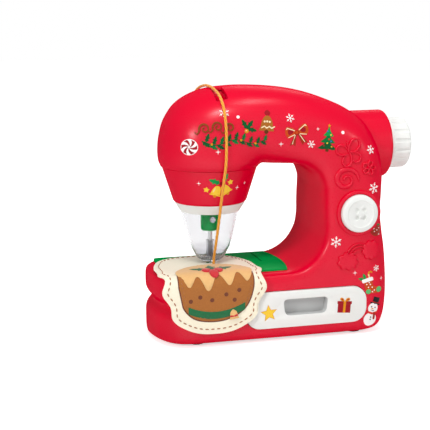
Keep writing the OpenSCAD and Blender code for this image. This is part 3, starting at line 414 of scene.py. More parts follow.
RED_ABS = moulded("red_abs", "#E3002F", "#D9002B", 0.28, shine=0.36)  # polished mould: glossy, long soft highlights
WHITE_PP = moulded("white_polypropylene", "#F1F2EF", "#EBEDE9", 0.38, relief=0.03, shine=0.3)  # waxy half gloss
# Grey for the drawer's finger pull alone: painted shade in its recess
PULL_SHADE_PP = moulded("pull_painted_shade", "#CFD0CF", "#C4C5C4", 0.42, shine=0.3)  # waxy, a little duller
GREEN_ABS = moulded("green_abs", "#00AA4E", "#009C47", 0.4, shine=0.15)  # fine texture: nearly matt
DARK_PP = moulded("dark_polypropylene", "#3C3D40", "#323336", 0.45, relief=0.1)  # textured: dull
INNER_POM = moulded("inner_acetal", "#DEDEDA", "#D2D2CD", 0.42, relief=0.08)  # milky, softly shining
BLACK_RUBBER = moulded("black_rubber", "#2B2B2D", "#232325", 0.72, relief=0.25)  # matt and rough
CLEAR_PS = clear_polystyrene()
BRIGHT_STEEL = metal("bright_steel", "#C9CCD0", "#A9ADB2", 0.26, 0.5, (0.1, 1, 1))  # drawn: bright, lines lengthways
SATIN_STEEL = metal("satin_steel", "#F2F3F4", "#E4E6E8", 0.5, 0.5, (1, 1, 0.1))  # plated: pale, blurred shine
TURNED_BRASS = metal("turned_brass", "#D2A552", "#B98A3C", 0.3, 0.4, (1, 1, 0.15))  # warm, finely lined
CAST_ZINC = metal("cast_zinc", "#A6A9AD", "#8F9296", 0.45, 1.2, (1, 1, 1))  # as cast: dull and cloudy
CELL_FOIL = metal("cell_foil", "#CFA52A", "#B98F1E", 0.35, 1.5, (0.05, 1, 1))  # wrapped label: golden, streaked
YARN = spun_yarn()
CREAM_FELT = wool_felt("cream_felt", "#FFFAE6", "#F9F0D2")
BROWN_FELT = wool_felt("brown_felt", "#B8732E", "#9C5A20")
DARK_FELT = wool_felt("dark_felt", "#7A3D20", "#643018")
RED_FELT = wool_felt("red_felt", "#D92B33", "#BE1F2A")
GREEN_FELT = wool_felt("green_felt", "#14713F", "#0D5C32")
TAN_FELT = wool_felt("tan_felt", "#F0C485", "#E2B06C")
STITCH_COTTON = wool_felt("stitch_cotton", "#B4713C", "#97582A")
INK_TONES = {
    "white": ("#FFFDFB", "#FBF6F4"), "leaf": ("#0B7A3B", "#07642F"), "fresh": ("#11A04C", "#0C8A40"),
    "deep": ("#0C5A2C", "#084A22"), "gold": ("#FFD84A", "#F6C832"), "amber": ("#E79A22", "#D98812"),
    "wine": ("#A81826", "#96121F"), "scarlet": ("#E2351F", "#CE2A18"), "bark": ("#6B3A16", "#5A2F10"),
    "cream": ("#FBE9C4", "#F2DCAE"), "ember": ("#D2501F", "#C24417"), "bronze": ("#8F4A1C", "#7C3E16"),
    "caramel": ("#B4702C", "#9E5E22"), "black": ("#17161A", "#0F0E12"), "blue": ("#3C77C8", "#2F66B4"),
    "mint": ("#66BF74", "#55AE64"), "rust": ("#A8321C", "#962A16")}
INKS = {name: printed_ink(name, *tones) for name, tones in INK_TONES.items()}


# Housing: one loft from the head's rim along the arm, down the column and back along the bed

HALF_DEPTH, ARM_HALF, WALL = 48.5, 42.5, 2.5
BED_TOP, ARM_UNDER, ARM_TOP = 58.5, 147.0, 212.0
THROAT_X, COLUMN_X, THROAT_HIGH_R, THROAT_LOW_R = 28.5, 88.0, 24.0, 35.0
GROOVE_DEPTH, GROOVE_Z, GROOVE_HALF, GROOVE_FADE = 5.5, 33.0, 5.5, 22.0
NEEDLE_X, RIM_R, RIM_Z, BASE_Z = -60.5, 41.3, 145.5, 1.5
PIVOT_X, HEAD_R = NEEDLE_X + RIM_R, RIM_R + 2.3
END_CENTRE, END_R, END_POWER, END_DROP, END_RISE = -82.0, 33.0, 2.3, 2.0, 3.0
SHAFT_Z, BOSS_R, BOSS_X, BOSS_IN = 158.0, 29.0, 95.0, 62.0
NOTCH = ((-61.5, -51.5), (-29.0, -6.0))
SPOOL = (-72.0, 172.0)
BUTTON, BUTTON_R, BUTTON_WALL, BUTTON_TRAVEL = (56.5, 106.0), 16.0, 46.76, 3.0
DRAWER, DRAWER_SIZE, DRAWER_FACE, DRAWER_ROUND = (10.2, 28.1), (106.4, 31.0), 50.0, 12.5
PLATE_LEFT, PLATE_RIGHT, PLATE_HALF, PLATE_BOW, PLATE_ROUND = -103.0, 2.0, 36.0, 5.0, 4.0
COVER_LEFT, COVER_RIGHT, COVER_HALF, COVER_ROUND = -103.0, COLUMN_X - 16, HALF_DEPTH - 9, 26.0
SHAFT_BORE, NEEDLE_BORE, PIN_BORE, WELL_R, WELL_DEPTH = 4.0, 10.0, 4.0, 2.8, 5.0
# Gaps round let-in pieces, round the button and round the drawer, and the ledge that a let-in piece rests on
FIT, BUTTON_GAP, DRAWER_GAP, LEDGE = 0.2, 0.3, 0.5, 1.7
# A cutter runs this far past a face, or starts this far out
PAST, FAR = 10.0, 90.0
PLATE_SUNK, COVER_SUNK, COVER_ROOM, DRAWER_WALL, NOTCH_DEPTH, NOTCH_ROUND = 1.0, 1.2, 4.0, 36.5, 30.0, 1.5


def depth(f):
    """Half the housing's depth, from the arm's at 0 to the bed's at 1."""
    return mix(ARM_HALF, HALF_DEPTH, f)


def arc_point(x, y, radius, angle):
    """A point on a circle; the angle is in degrees."""
    a = math.radians(angle)
    return x + radius * math.cos(a), y + radius * math.sin(a)


def high_arc(angle):
    """The throat's upper right corner."""
    return arc_point(THROAT_X - THROAT_HIGH_R, ARM_UNDER - THROAT_HIGH_R, THROAT_HIGH_R, angle)


def low_arc(angle):
    """The throat's lower right corner, which runs out into the bed."""
    return arc_point(THROAT_X - THROAT_LOW_R, BED_TOP + THROAT_LOW_R, THROAT_LOW_R, -angle)


def loft_rows():
    """Each row: throat point, outer point, half depth, edge power at the throat and outside."""
    arm_left = PIVOT_X + 2
    arm_step = (THROAT_X - THROAT_HIGH_R - arm_left) / 6
    bed_right = THROAT_X - THROAT_LOW_R
    bed_step = (bed_right - END_CENTRE) / 75
    rows = [
        ((PIVOT_X, RIM_Z), (NEEDLE_X - RIM_R, RIM_Z), RIM_R, 2, 2),
        ((PIVOT_X, RIM_Z + 0.7), (NEEDLE_X - HEAD_R + 0.3, RIM_Z + 5.5), HEAD_R - 0.8, 2.05, 2),
        ((PIVOT_X + 0.4, RIM_Z + 1.1), (NEEDLE_X - HEAD_R, RIM_Z + 15.5), HEAD_R, 2.2, 2.05),
        ((PIVOT_X + 0.8, ARM_UNDER - 0.2), (NEEDLE_X - HEAD_R + 1.5, RIM_Z + 27), HEAD_R, 2.3, 2.05),
        ((PIVOT_X + 1.4, ARM_UNDER), (NEEDLE_X - HEAD_R + 5.8, ARM_TOP - 26.5), HEAD_R - 0.3, 2.4, 2.1),
        ((arm_left, ARM_UNDER), (NEEDLE_X - 27, ARM_TOP - 12.5), ARM_HALF + 0.4, 2.6, 2.1),
        ((arm_left + 0.4 * arm_step, ARM_UNDER), (NEEDLE_X - 7.5, ARM_TOP - 3), ARM_HALF, 2.9, 2.15),
        ((arm_left + arm_step, ARM_UNDER), (NEEDLE_X + 16.5, ARM_TOP), ARM_HALF, 3.2, 2.2),
        ((arm_left + 2 * arm_step, ARM_UNDER), (NEEDLE_X + 40.5, ARM_TOP - 0.4), ARM_HALF, 3.5, 2.25),
        ((arm_left + 3.2 * arm_step, ARM_UNDER), (2, ARM_TOP - 2.6), ARM_HALF, 3.8, 2.3),
        ((arm_left + 4.5 * arm_step, ARM_UNDER), (22, ARM_TOP - 6.8), depth(0.02), 4.2, 2.3),
        ((THROAT_X - THROAT_HIGH_R, ARM_UNDER), (41, ARM_TOP - 13.4), depth(0.07), 4.8, 2.35),
        (high_arc(66), (58, ARM_TOP - 21.4), depth(0.15), 5.5, 2.4),
        (high_arc(40), (COLUMN_X - 15, ARM_TOP - 33), depth(0.25), 6.5, 2.5),
        (high_arc(14), (COLUMN_X - 5.5, ARM_TOP - 50), depth(0.37), 8, 2.7),
        ((THROAT_X, ARM_UNDER - 26), (COLUMN_X - 1.4, 142), depth(0.48), 9, 2.9),
        ((THROAT_X, 113), (COLUMN_X - 2, 122), depth(0.6), 10, 3),
        ((THROAT_X, 103.5), (COLUMN_X - 3.4, 104), depth(0.72), 10, 3.1),
        (low_arc(0), (COLUMN_X - 2.2, 88), depth(0.82), 10, 3.2),
        (low_arc(20), (COLUMN_X - 0.4, 73), depth(0.92), 10, 3.4),
        (low_arc(43), (COLUMN_X + 0.8, 57), depth(0.98), 10, 3.6),
        (low_arc(64), (COLUMN_X + 1.2, 42), HALF_DEPTH, 10, 3.9),
        (low_arc(82), (COLUMN_X + 0.4, 28), HALF_DEPTH, 10, 4.4),
        ((bed_right - 4.5 * bed_step, BED_TOP), (COLUMN_X - 2.4, 14), HALF_DEPTH, 10, 5.2),
        ((bed_right - 11.5 * bed_step, BED_TOP), (COLUMN_X - 9, 4.5), HALF_DEPTH, 10, 6.5),
        ((bed_right - 18.5 * bed_step, BED_TOP), (COLUMN_X - 22, BASE_Z), HALF_DEPTH, 10, 8),
        ((bed_right - 25.5 * bed_step, BED_TOP), (42, BASE_Z), HALF_DEPTH, 10, 9),
        ((bed_right - 34.5 * bed_step, BED_TOP), (8, BASE_Z), HALF_DEPTH, 10, 10),
        ((bed_right - 46.5 * bed_step, BED_TOP), (-30, BASE_Z), HALF_DEPTH, 10, 10),
        ((bed_right - 60.5 * bed_step, BED_TOP), (-60, BASE_Z), HALF_DEPTH, 10, 10),
        ((END_CENTRE, BED_TOP), (END_CENTRE, BASE_Z), HALF_DEPTH, 10, 10)]
    return [Vector((*inner, *outer, d, n_in, n_out)) for inner, outer, d, n_in, n_out in rows]


ROWS = loft_rows()
ROWS_PER_KNOT, END_ROWS, RING, RING_CROWDING = 6, 22, 64, 0.35
HEAD_KNOTS, SLANT_ROWS, SLANT_LEAST = 5, 4, 0.55
LOFT_ROWS = (len(ROWS) - 1) * ROWS_PER_KNOT


def station(u):
    """The loft's row at knot u, on a smooth curve through the knots."""
    i = min(int(u), len(ROWS) - 2)
    first = ROWS[i - 1] if i else 2 * ROWS[0] - ROWS[1]
    after = ROWS[i + 2] if i + 2 < len(ROWS) else 2 * ROWS[-1] - ROWS[-2]
    return spline(first, ROWS[i], ROWS[i + 1], after, u - i)


def end_row(f, inset):
    """The left end closes on the parting plane in a rounded plan."""
    a = math.radians(90 * f)
    k = math.sin(a) ** (2 / END_POWER)
    x = END_CENTRE - (END_R - inset) * k
    n = mix(10, 2, f ** 6)
    d = 0 if f >= 1 else HALF_DEPTH * math.cos(a) ** (2 / END_POWER)
    return Vector((x, BED_TOP - END_DROP * k ** 4, x, BASE_Z + END_RISE * k ** 4, d, n, n))


def loft_row(i, inset):
    """Row i of the whole housing: the loft's rows, then those of the left end."""
    return station(i / ROWS_PER_KNOT) if i <= LOFT_ROWS else end_row((i - LOFT_ROWS) / END_ROWS, inset)


def inset_row(i, inset):
    """A row moved inwards by the wall, square to the outline that it follows."""
    r = loft_row(i, inset)
    way = Vector((r[2] - r[0], r[3] - r[1])).normalized()
    steps = []
    for k in (0, 2):
        slant = 1.0
        if i <= LOFT_ROWS and (k or i >= HEAD_KNOTS * ROWS_PER_KNOT):
            a, b = loft_row(max(i - SLANT_ROWS, 0), 0), loft_row(min(i + SLANT_ROWS, LOFT_ROWS), 0)
            run = Vector((b[k] - a[k], b[k + 1] - a[k + 1])).normalized()
            slant = min(max(abs(run[0] * way[1] - run[1] * way[0]), SLANT_LEAST), 1)
        steps.append(inset / slant)
    return Vector((r[0] + way[0] * steps[0], r[1] + way[1] * steps[0], r[2] - way[0] * steps[1],
                   r[3] - way[1] * steps[1], r[4] * (1 - inset / HALF_DEPTH), r[5], r[6]))


def groove(p):
    """Draws a point in towards the end's centre where the waist groove runs."""
    f = min(max((END_CENTRE - 2 - p[0]) / GROOVE_FADE, 0), 1)
    g = GROOVE_DEPTH * math.exp(-((p[2] - GROOVE_Z) / GROOVE_HALF) ** 2) * f * f * (3 - 2 * f)
    way = Vector((END_CENTRE - p[0], -p[1]))
    if way.length < 1e-6:
        return Vector(p)
    way.normalize()
    return Vector((p[0] + g * way[0], p[1] + g * way[1], p[2]))


def ring_angle(k):
    """Ring points crowd towards the front corners, where the outline turns."""
    f = k / RING
    return math.pi * (f - RING_CROWDING * math.sin(4 * math.pi * f) / (4 * math.pi))


def ring(r, side):
    """One row's half ring of points, from its outer edge round the front or back to the throat."""
    points = []
    for k in range(RING + 1):
        c = math.cos(ring_angle(k))
        s = 0 if k in (0, RING) else math.sin(ring_angle(k))
        n = r[6] if c > 0 else r[5]
        q = (abs(c) ** n + abs(s) ** n) ** (-1 / n)
        points.append(groove(((r[0] + r[2]) / 2 + (r[2] - r[0]) / 2 * q * c, side * r[4] * q * s,
                              (r[1] + r[3]) / 2 + (r[3] - r[1]) / 2 * q * c)))
    return points


def half_housing(name, side):
    """One closed half: outer skin, inner skin, parting face and rim; side is -1 for the front."""
    rows = LOFT_ROWS + END_ROWS
    skins = [[ring(inset_row(i, inset), side) for i in range(rows + 1)] for inset in (0.0, WALL)]
    points = [p for skin in skins for row in skin for p in row]
    count = (rows + 1) * (RING + 1)

    def at(skin, i, k):
        return skin * count + i * (RING + 1) + k

    faces = []
    for i in range(rows):
        for k in range(RING):
            for skin in (0, 1):
                cell = [at(skin, i, k), at(skin, i + 1, k), at(skin, i + 1, k + 1), at(skin, i, k + 1)]
                faces += [[cell[1], cell[2], cell[3]], [cell[1], cell[3], cell[0]]] if k == 0 else \
                    [[cell[0], cell[1], cell[2]], [cell[0], cell[2], cell[3]]]
    rim = [(i, 0) for i in range(rows + 1)] + [(rows, k) for k in range(1, RING + 1)]
    rim += [(i, RING) for i in range(rows - 1, -1, -1)] + [(0, k) for k in range(RING - 1, 0, -1)]
    for a, b in zip(rim, rim[1:] + rim[:1]):
        faces += [[at(0, *a), at(1, *b), at(0, *b)], [at(0, *a), at(1, *a), at(1, *b)]]
    return build_mesh(name, points, faces, RED_ABS)


def outline_plate(grow):
    """Needle plate outline with a bowed right end."""
    bow_r = (PLATE_HALF ** 2 + PLATE_BOW ** 2) / (2 * PLATE_BOW)
    left, right, top = PLATE_LEFT - grow, PLATE_RIGHT + grow, PLATE_HALF + grow
    arc = [(right - bow_r + math.sqrt(bow_r ** 2 - y * y), y) for y in (top * (k / 12 - 1) for k in range(25))]
    return round_corners(arc + [(left, top), (left, -top)], [0] * len(arc) + [PLATE_ROUND] * 2, 6)


def outline_cover(grow):
    """Outline of the cover let into the bed's foot."""
    return rounded_box(COVER_RIGHT - COVER_LEFT + 2 * grow, 2 * (COVER_HALF + grow), COVER_ROUND + grow,
                       ((COVER_LEFT + COVER_RIGHT) / 2, 0))


def middle(u):
    """The middle of the rear face at knot u: x, z and half depth."""
    r = station(u)
    return (r[0] + r[2]) / 2, (r[1] + r[3]) / 2, r[4]


SCREW_SEATS = ((-28.04, 179.5, 42.5), (13.91, 176.1, 42.62), middle(19.2), middle(len(ROWS) - 1.2))
BOSS_ROUND = 3.0


def boss_profile(grow, low, high):
    """The wheel's boss, with a round outer edge."""
    r = BOSS_R + grow
    arc = [arc_point(r - BOSS_ROUND, high - BOSS_ROUND, BOSS_ROUND, a) for a in range(0, 91, 10)]
    return [(0, low), (r, low)] + arc + [(0, high)]


def half_space(side):
    """The room on one side of the parting plane, from the middle to the right."""
    return prism("half_space", rectangle(0, 4 * FAR, 0, side * 4 * FAR), 0, 4 * FAR)


def make_housing(name, side):
    """One half with its boss, seats and openings; side is -1 for the front."""
    shell = half_housing(name, side)
    shaft = (0, 0, SHAFT_Z)
    boss = turned("boss", boss_profile(0, BOSS_IN, BOSS_X), shaft, "X", RED_ABS, 144)
    carve(boss, half_space(side), "INTERSECT")
    carve(shell, boss, "UNION")
    carve(shell, turned("boss_hollow", boss_profile(-WALL, BOSS_IN - 1, BOSS_X - WALL), shaft, "X"))
    carve(shell, bore("shaft_hole", SHAFT_BORE, BOSS_X - PAST, BOSS_X + PAST, shaft, "X"))
    carve(shell, prism("foot_opening", outline_cover(FIT), BASE_Z - PAST, BASE_Z + WALL + COVER_SUNK))
    carve(shell, prism("foot_seat", outline_cover(LEDGE), BASE_Z + WALL, BASE_Z + WALL + COVER_ROOM))
    carve(shell, prism("plate_recess", outline_plate(FIT), BED_TOP - PLATE_SUNK, BED_TOP + PAST))
    carve(shell, bore("needle_hole", NEEDLE_BORE, BED_TOP - PAST, BED_TOP + PAST, (NEEDLE_X, 0, 0), steps=64))
    if side < 0:
        carve(shell, bore("button_bore", BUTTON_R + BUTTON_GAP, -FAR, -20, (BUTTON[0], 0, BUTTON[1]), "Y", 128))
        width, height = (size + 2 * DRAWER_GAP for size in DRAWER_SIZE)
        opening = rounded_box(width, height, DRAWER_ROUND + DRAWER_GAP, DRAWER)
        carve(shell, prism("drawer_opening", opening, -FAR, -DRAWER_WALL, "Y"))
        notch = round_corners(rectangle(*NOTCH[0], *NOTCH[1]), NOTCH_ROUND)
        carve(shell, prism("thread_notch", notch, ARM_TOP - NOTCH_DEPTH, ARM_TOP + PAST))
    else:
        carve(shell, bore("pin_hole", PIN_BORE, 20, FAR, (SPOOL[0], 0, SPOOL[1]), "Y"))
        for x, z, d in SCREW_SEATS:
            carve(shell, bore("screw_well", WELL_R, d - WELL_DEPTH, d + PAST, (x, 0, z), "Y", 32))
    shade(shell.data, 32)
    even = shell.modifiers.new("even_normals", "WEIGHTED_NORMAL")
    even.keep_sharp = True
    plain_mesh(shell)
    return shell


# Yarn: lobed strands twisted along a path

YARN_D, YARN_PLIES, YARN_LAY, YARN_SIDES = 2.4, 3, 5.2, 24
# Between the plies: share of the radius, and of the tone, which is painted shade
YARN_VALLEY, YARN_SHADOW = 0.74, 0.25
WINDING_TURNS, WINDING_R, WINDING_Y, WINDING_STEPS = 2, 8.6, 49.65, 48
WINDING_PITCH = YARN_D + 0.55
YARN_ROUTE = [(-66, 50, 181), (-66, 44, 190), (-65, 36, 200), (-64, 24, 207.6), (-62, 10, 211.5),
              (-60, -3, 211.7), (-58.5, -13, 209.5), (-58, -22.5, 207), (-57.8, -30.8, 203), (-57.5, -37.8, 196),
              (-57.4, -42.8, 185.5), (-57.5, -44.9, 175), (-57.7, -45.6, 165), (-58, -45.6, 155),
              (-58.5, -43.8, 145), (-59.2, -39.2, 131), (-59.8, -34, 116), (-60, -30.2, 105.5), (-60.5, -25.2, 92),
              (-61, -20.8, 80), (-61.4, -17.4, 71.5), (-61.5, -15.6, 66.5), (-61.5, -15.4, 62.7)]


def twisted_tube(name, path):
    """Plies laid round each other: the section has one lobe a ply and turns along the path."""
    n, sides = len(path), YARN_SIDES
    points, tone, place = [], [], []
    side, gone = Vector((0.3, 0.2, 1.0)), 0.0
    for i, p in enumerate(path):
        way = (path[min(i + 1, n - 1)] - path[max(i - 1, 0)]).normalized()
        side = (side - way * side.dot(way)).normalized()
        up = way.cross(side)
        gone += (p - path[i - 1]).length if i else 0
        for k in range(sides):
            a = 2 * math.pi * k / sides
            lobe = abs(math.cos(YARN_PLIES / 2 * (a + 2 * math.pi * gone / (YARN_LAY * YARN_PLIES))))
            r = YARN_D / 2 * mix(YARN_VALLEY, 1.0, lobe ** 0.7)
            points.append(p + (side * math.cos(a) + up * math.sin(a)) * r)
            tone.append(lobe)
            place.append((gone, k / sides * math.pi * YARN_D))
    piece = build_mesh(name, points, capped_bands(n, sides), YARN, 60)
    # The ply attribute holds painted shade: full tone on a ply's crest, darker between the plies
    plies = piece.data.attributes.new("ply", "FLOAT", "POINT")
    plies.data.foreach_set("value", [mix(YARN_SHADOW, 1, f) for f in tone])
    run = piece.data.uv_layers.new(name="run")
    for corner in piece.data.loops:
        run.data[corner.index].uv = place[corner.vertex_index]
    return piece


def make_yarn():
    """The run from the spool over the crown to the work, and the turns left on the spool."""
    path = smooth_run(YARN_ROUTE, 16)
    yarn = twisted_tube("yarn", path)
    settle(yarn, "root", "yarn", "thread_run")
    winding = []
    for i in range(WINDING_STEPS * WINDING_TURNS + 1):
        turn = i / WINDING_STEPS
        x, z = arc_point(*SPOOL, WINDING_R, -360 * turn)
        winding.append(Vector((x, WINDING_Y + WINDING_PITCH * (turn - WINDING_TURNS / 2), z)))
    settle(twisted_tube("wound_yarn", winding), "spool", "yarn", "spool_winding")


# Solids that keep their shape, with softened edges and their own materials

SOFT_EDGES = {
    "base_cover": (RED_ABS, "root", "red_shell", 0.4), "battery_door": (RED_ABS, "root", "red_shell", 0.3),
    "rubber_feet": (BLACK_RUBBER, "root", "black_rubber", 0.4),
    "needle_plate": (GREEN_ABS, "root", "green_plastic", 0.5),
    "hand_wheel": (WHITE_PP, "wheel", "white_plastic", 0.45),
    "power_button": (WHITE_PP, "button", "white_plastic", 0.3),
    "drawer_tray": (WHITE_PP, "drawer", "white_plastic", 0.4),
    "needle_block": (GREEN_ABS, "needle_unit", "green_plastic", 0.5),
    "thread_spool": (WHITE_PP, "spool", "white_plastic", 0.25),
    "spool_pin": (RED_ABS, "root", "red_shell", 0.3)}
KEPT_SOLIDS = (
    (DARK_PP, ("battery_box", "button_switch")), (CELL_FOIL, ("battery_cells",)), (CLEAR_PS, ("needle_sleeve",)),
    (BRIGHT_STEEL, ("battery_contacts", "case_screws", "main_shaft", "wheel_screw", "lower_shaft", "looper_hook",
                    "needle_bar", "clamp_screw")),
    (SATIN_STEEL, ("needle",)), (TURNED_BRASS, ("shaft_bushes", "lower_bushes", "bar_guides", "motor_pinion")),
    (INNER_POM, ("inner_frame", "drawer_runners", "drive_gear", "upper_pulley", "lower_pulley")),
    (CAST_ZINC, ("motor", "crank_disc", "needle_yoke")), (BLACK_RUBBER, ("drive_belt",)))


def finish_solids():
    """Softens the solids that show and gives the others their materials."""
    for node, finish in SOFT_EDGES.items():
        refine(node, *finish)
    for material, nodes in KEPT_SOLIDS:
        for node in nodes:
            NODES[node].data.materials.clear()
            NODES[node].data.materials.append(material)


PULL, PULL_SIZE, PULL_DEPTH, PULL_WALL, PULL_ROUND, PULL_TAPER = (9.2, 29.6), (40.0, 14.0), 9.0, 1.6, 4.5, 2.0
PANEL_T, PANEL_EDGE = 3.0, 0.8


def pull_outline(grow):
    """The finger pull: wider at its top, with round corners."""
    x, z = PULL_SIZE[0] / 2 + grow, PULL_SIZE[1] / 2 + grow
    corners = [(-x, z), (x, z), (x - PULL_TAPER, -z), (PULL_TAPER - x, -z)]
    return moved(round_corners(corners, PULL_ROUND + grow, 8), *PULL)


def make_drawer_front():
    """The drawer's face, with a finger pull let into it whose faces take a grey painted shade."""
    back = -DRAWER_FACE + PANEL_T
    panel = prism("panel", rounded_box(*DRAWER_SIZE, DRAWER_ROUND, DRAWER), -DRAWER_FACE, back, "Y")
    carve(panel, prism("cup", pull_outline(PULL_WALL), back - 1, -DRAWER_FACE + PULL_DEPTH + PULL_WALL, "Y"), "UNION")
    carve(panel, prism("hollow", pull_outline(0), -DRAWER_FACE - 5, -DRAWER_FACE + PULL_DEPTH, "Y"))
    mesh = panel.data
    bpy.data.objects.remove(panel)
    piece = refine("drawer_front", WHITE_PP, "drawer", "white_plastic", PANEL_EDGE, mesh)
    # The faces inside the finger pull take the grey: painted shade in the recess
    piece.data.materials.append(PULL_SHADE_PP)
    for face in piece.data.polygons:
        spot = face.center / MM
        across, upward = abs(spot[0] - PULL[0]), abs(spot[2] - PULL[1])
        inside = across < PULL_SIZE[0] / 2 + 0.1 and upward < PULL_SIZE[1] / 2 + 0.1
        if inside and spot[1] > -DRAWER_FACE + PANEL_EDGE + 0.05:
            face.material_index = 1
    return piece


# Head: tapered skirt, collar and the clear guard, turned about the needle axis

SKIRT_Z, SKIRT_TOP_R, SKIRT_LOW_R, COLLAR_Z = 115.0, 40.3, 30.5, 107.0
GUARD_R, GUARD_Z, GUARD_WALL, GUARD_HOLE = 24.6, 64.0, 1.4, 4.2
# The skirt's floor over the guard, and the collar on it that the needle bar runs through
DECK_LOW, DECK_TOP, BAR_HOLE, BAR_COLLAR, BAR_COLLAR_TOP = 128.0, 130.5, 5.5, 8.0, 137.0


def make_head():
    """Skirt, collar and guard; returns the skirt, which carries prints."""
    centre = (NEEDLE_X, 0, 0)
    top = RIM_Z - 0.3
    spigot = RIM_R * (1 - WALL / HALF_DEPTH) - 0.8
    outside = [(spigot - 2, RIM_Z - 3), (spigot - 2, RIM_Z + 5), (spigot, RIM_Z + 5), (spigot, top),
               (SKIRT_TOP_R, top), (SKIRT_LOW_R + 0.2, SKIRT_Z), (GUARD_R + 2.5, SKIRT_Z),
               (GUARD_R + 2.5, SKIRT_Z + 2.2), (28.5, SKIRT_Z + 2.2), (31.5, DECK_LOW), (BAR_HOLE, DECK_LOW),
               (BAR_HOLE, BAR_COLLAR_TOP), (BAR_COLLAR, BAR_COLLAR_TOP), (BAR_COLLAR, DECK_TOP), (32.5, DECK_TOP)]
    skirt = turned("skirt", round_corners(outside, [0, 0, 0.4, 0, 0.8, 2.6, 0, 0, 0, 0, 0, 0, 0.3, 0, 0], 6),
                   centre, "Z", RED_ABS, 160)
    settle(skirt, "root", "red_shell", "head_skirt")
    ring_out = [(GUARD_R + 0.6, COLLAR_Z), (GUARD_R + 2.2, COLLAR_Z + 2.6), (SKIRT_LOW_R - 0.9, SKIRT_Z - 1),
                (SKIRT_LOW_R - 0.9, SKIRT_Z), (GUARD_R + 2.3, SKIRT_Z), (GUARD_R + 2.3, SKIRT_Z + 4),
                (GUARD_R + 0.2, SKIRT_Z + 4), (GUARD_R + 0.2, COLLAR_Z)]
    collar = turned("collar", round_corners(ring_out, [0.3, 1, 0.8, 0.2, 0, 0.2, 0.2, 0.2], 4), centre, "Z",
                    WHITE_PP, 144)
    settle(collar, "root", "white_plastic", "guard_collar")
    knots = [(GUARD_R, SKIRT_Z + 2), (GUARD_R, COLLAR_Z), (GUARD_R - 4.2, 88), (GUARD_R - 7.4, 77),
             (GUARD_R - 9.8, 72.5), (GUARD_R - 12.6, 67.2), (GUARD_R - 16, GUARD_Z)]
    outer = open_run(knots, 8)
    inner = open_run([(r - GUARD_WALL, max(h, GUARD_Z + GUARD_WALL)) for r, h in knots], 8)
    cup = outer + [(GUARD_HOLE, GUARD_Z), (GUARD_HOLE, GUARD_Z + GUARD_WALL)] + inner[::-1]
    guard = turned("guard", cup, centre, "Z", CLEAR_PS, 144, 50)
    settle(guard, "root", "clear_plastic", "needle_guard")
    return skirt


def make_button_ring():
    """The raised ring round the button, part of the front housing."""
    inside, outside, low, high = BUTTON_R + BUTTON_GAP, BUTTON_R + 3.5, -38.3, -BUTTON_WALL - 2
    profile = round_corners([(inside, low), (outside, low), (outside, high), (inside, high)], [0.2, 0.2, 1.5, 0.8], 5)
    piece = turned("button_ring", profile, (BUTTON[0], 0, BUTTON[1]), "Y", RED_ABS, 144)
    settle(piece, "root", "red_shell")


def make_button_spring():
    """The coil under the button."""
    mesh = NODES["button_spring"].data.copy()
    spring = settle(new_object("spring_coil", mesh, BRIGHT_STEEL), "root", "steel", "button_spring")
    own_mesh(spring)


def make_thread_trough():
    """The shallow trough under the notch in the crown, which the yarn passes over."""
    (x0, x1), (y0, y1) = NOTCH
    out = 1.6
    outside = [(y0 - out, 196.0), (y0 - out, 200.3), (-24, 203.3), (-18, 205.4), (-12, 206.8), (y1 + out, 207.9),
               (y1 + out, 200.5)]
    trough = prism("thread_trough", outside, x0 - out, x1 + out, "X", RED_ABS)
    carve(trough, prism("hollow", [(y0, 198.5), (y0, 230), (y1, 230), (y1, 203.5)], x0, x1, "X"))
    settle(trough, "root", "red_shell")


# Prints and reliefs on the housing

def circle(x, y, r, n=20):
    """A circle's outline."""
    return [arc_point(x, y, r, 360 * k / n) for k in range(n)]


def star(points, outer, inner, turn=90.0, x=0.0, y=0.0):
    """A star's outline; turn is where its first point stands, in degrees."""
    return [arc_point(x, y, (outer, inner)[k % 2], turn + 180 * k / points) for k in range(2 * points)]


def bar(x0, y0, x1, y1, width, end=None):
    """A straight stroke with round ends; end is the width at its far end."""
    end = width if end is None else end
    turn = math.degrees(math.atan2(y1 - y0, x1 - x0))
    return ([arc_point(x1, y1, end / 2, turn + d) for d in range(-90, 91, 30)]
            + [arc_point(x0, y0, width / 2, turn + d) for d in range(90, 271, 30)])


def stroke(points, start, end):
    """A ribbon along a line of points, its width going from start to end."""
    left, right, n = [], [], len(points)
    for i, p in enumerate(points):
        run = Vector(points[min(i + 1, n - 1)]) - Vector(points[max(i - 1, 0)])
        side = Vector((-run[1], run[0])).normalized() * mix(start, end, i / (n - 1)) / 2
        left.append(tuple(Vector(p) + side))
        right.append(tuple(Vector(p) - side))
    return left + right[::-1]


def shape(motif, **where):
    """A motif, which is a list of inks and outlines, moved as one."""
    return [(ink, moved(outline, **where)) for ink, outline in motif]


def snowflake(r):
    """Six arms, each with a pair of short side barbs."""
    arm = [bar(0, 0, r, 0, 0.13 * r, 0.15 * r)]
    arm += [bar(0.6 * r, 0, 0.76 * r, side * 0.2 * r, 0.1 * r) for side in (-1, 1)]
    return [("white", moved(part, turn=60 * k + 30)) for k in range(6) for part in arm]


def sparkle(r):
    """A four-pointed glint."""
    return [("white", star(4, r, 0.19 * r)), ("white", circle(0, 0, 0.24 * r, 12))]


def holly_leaf(length):
    """A spiny leaf, its stalk at the origin and its tip on +X."""
    edge = [(0, 0), (0.1, 0.09), (0.24, 0.26), (0.3, 0.15), (0.46, 0.17), (0.56, 0.3), (0.63, 0.14), (0.8, 0.13),
            (1, 0)]
    outline = edge + [(x, -y) for x, y in edge[-2:0:-1]]
    return [(x * length, y * length) for x, y in outline]


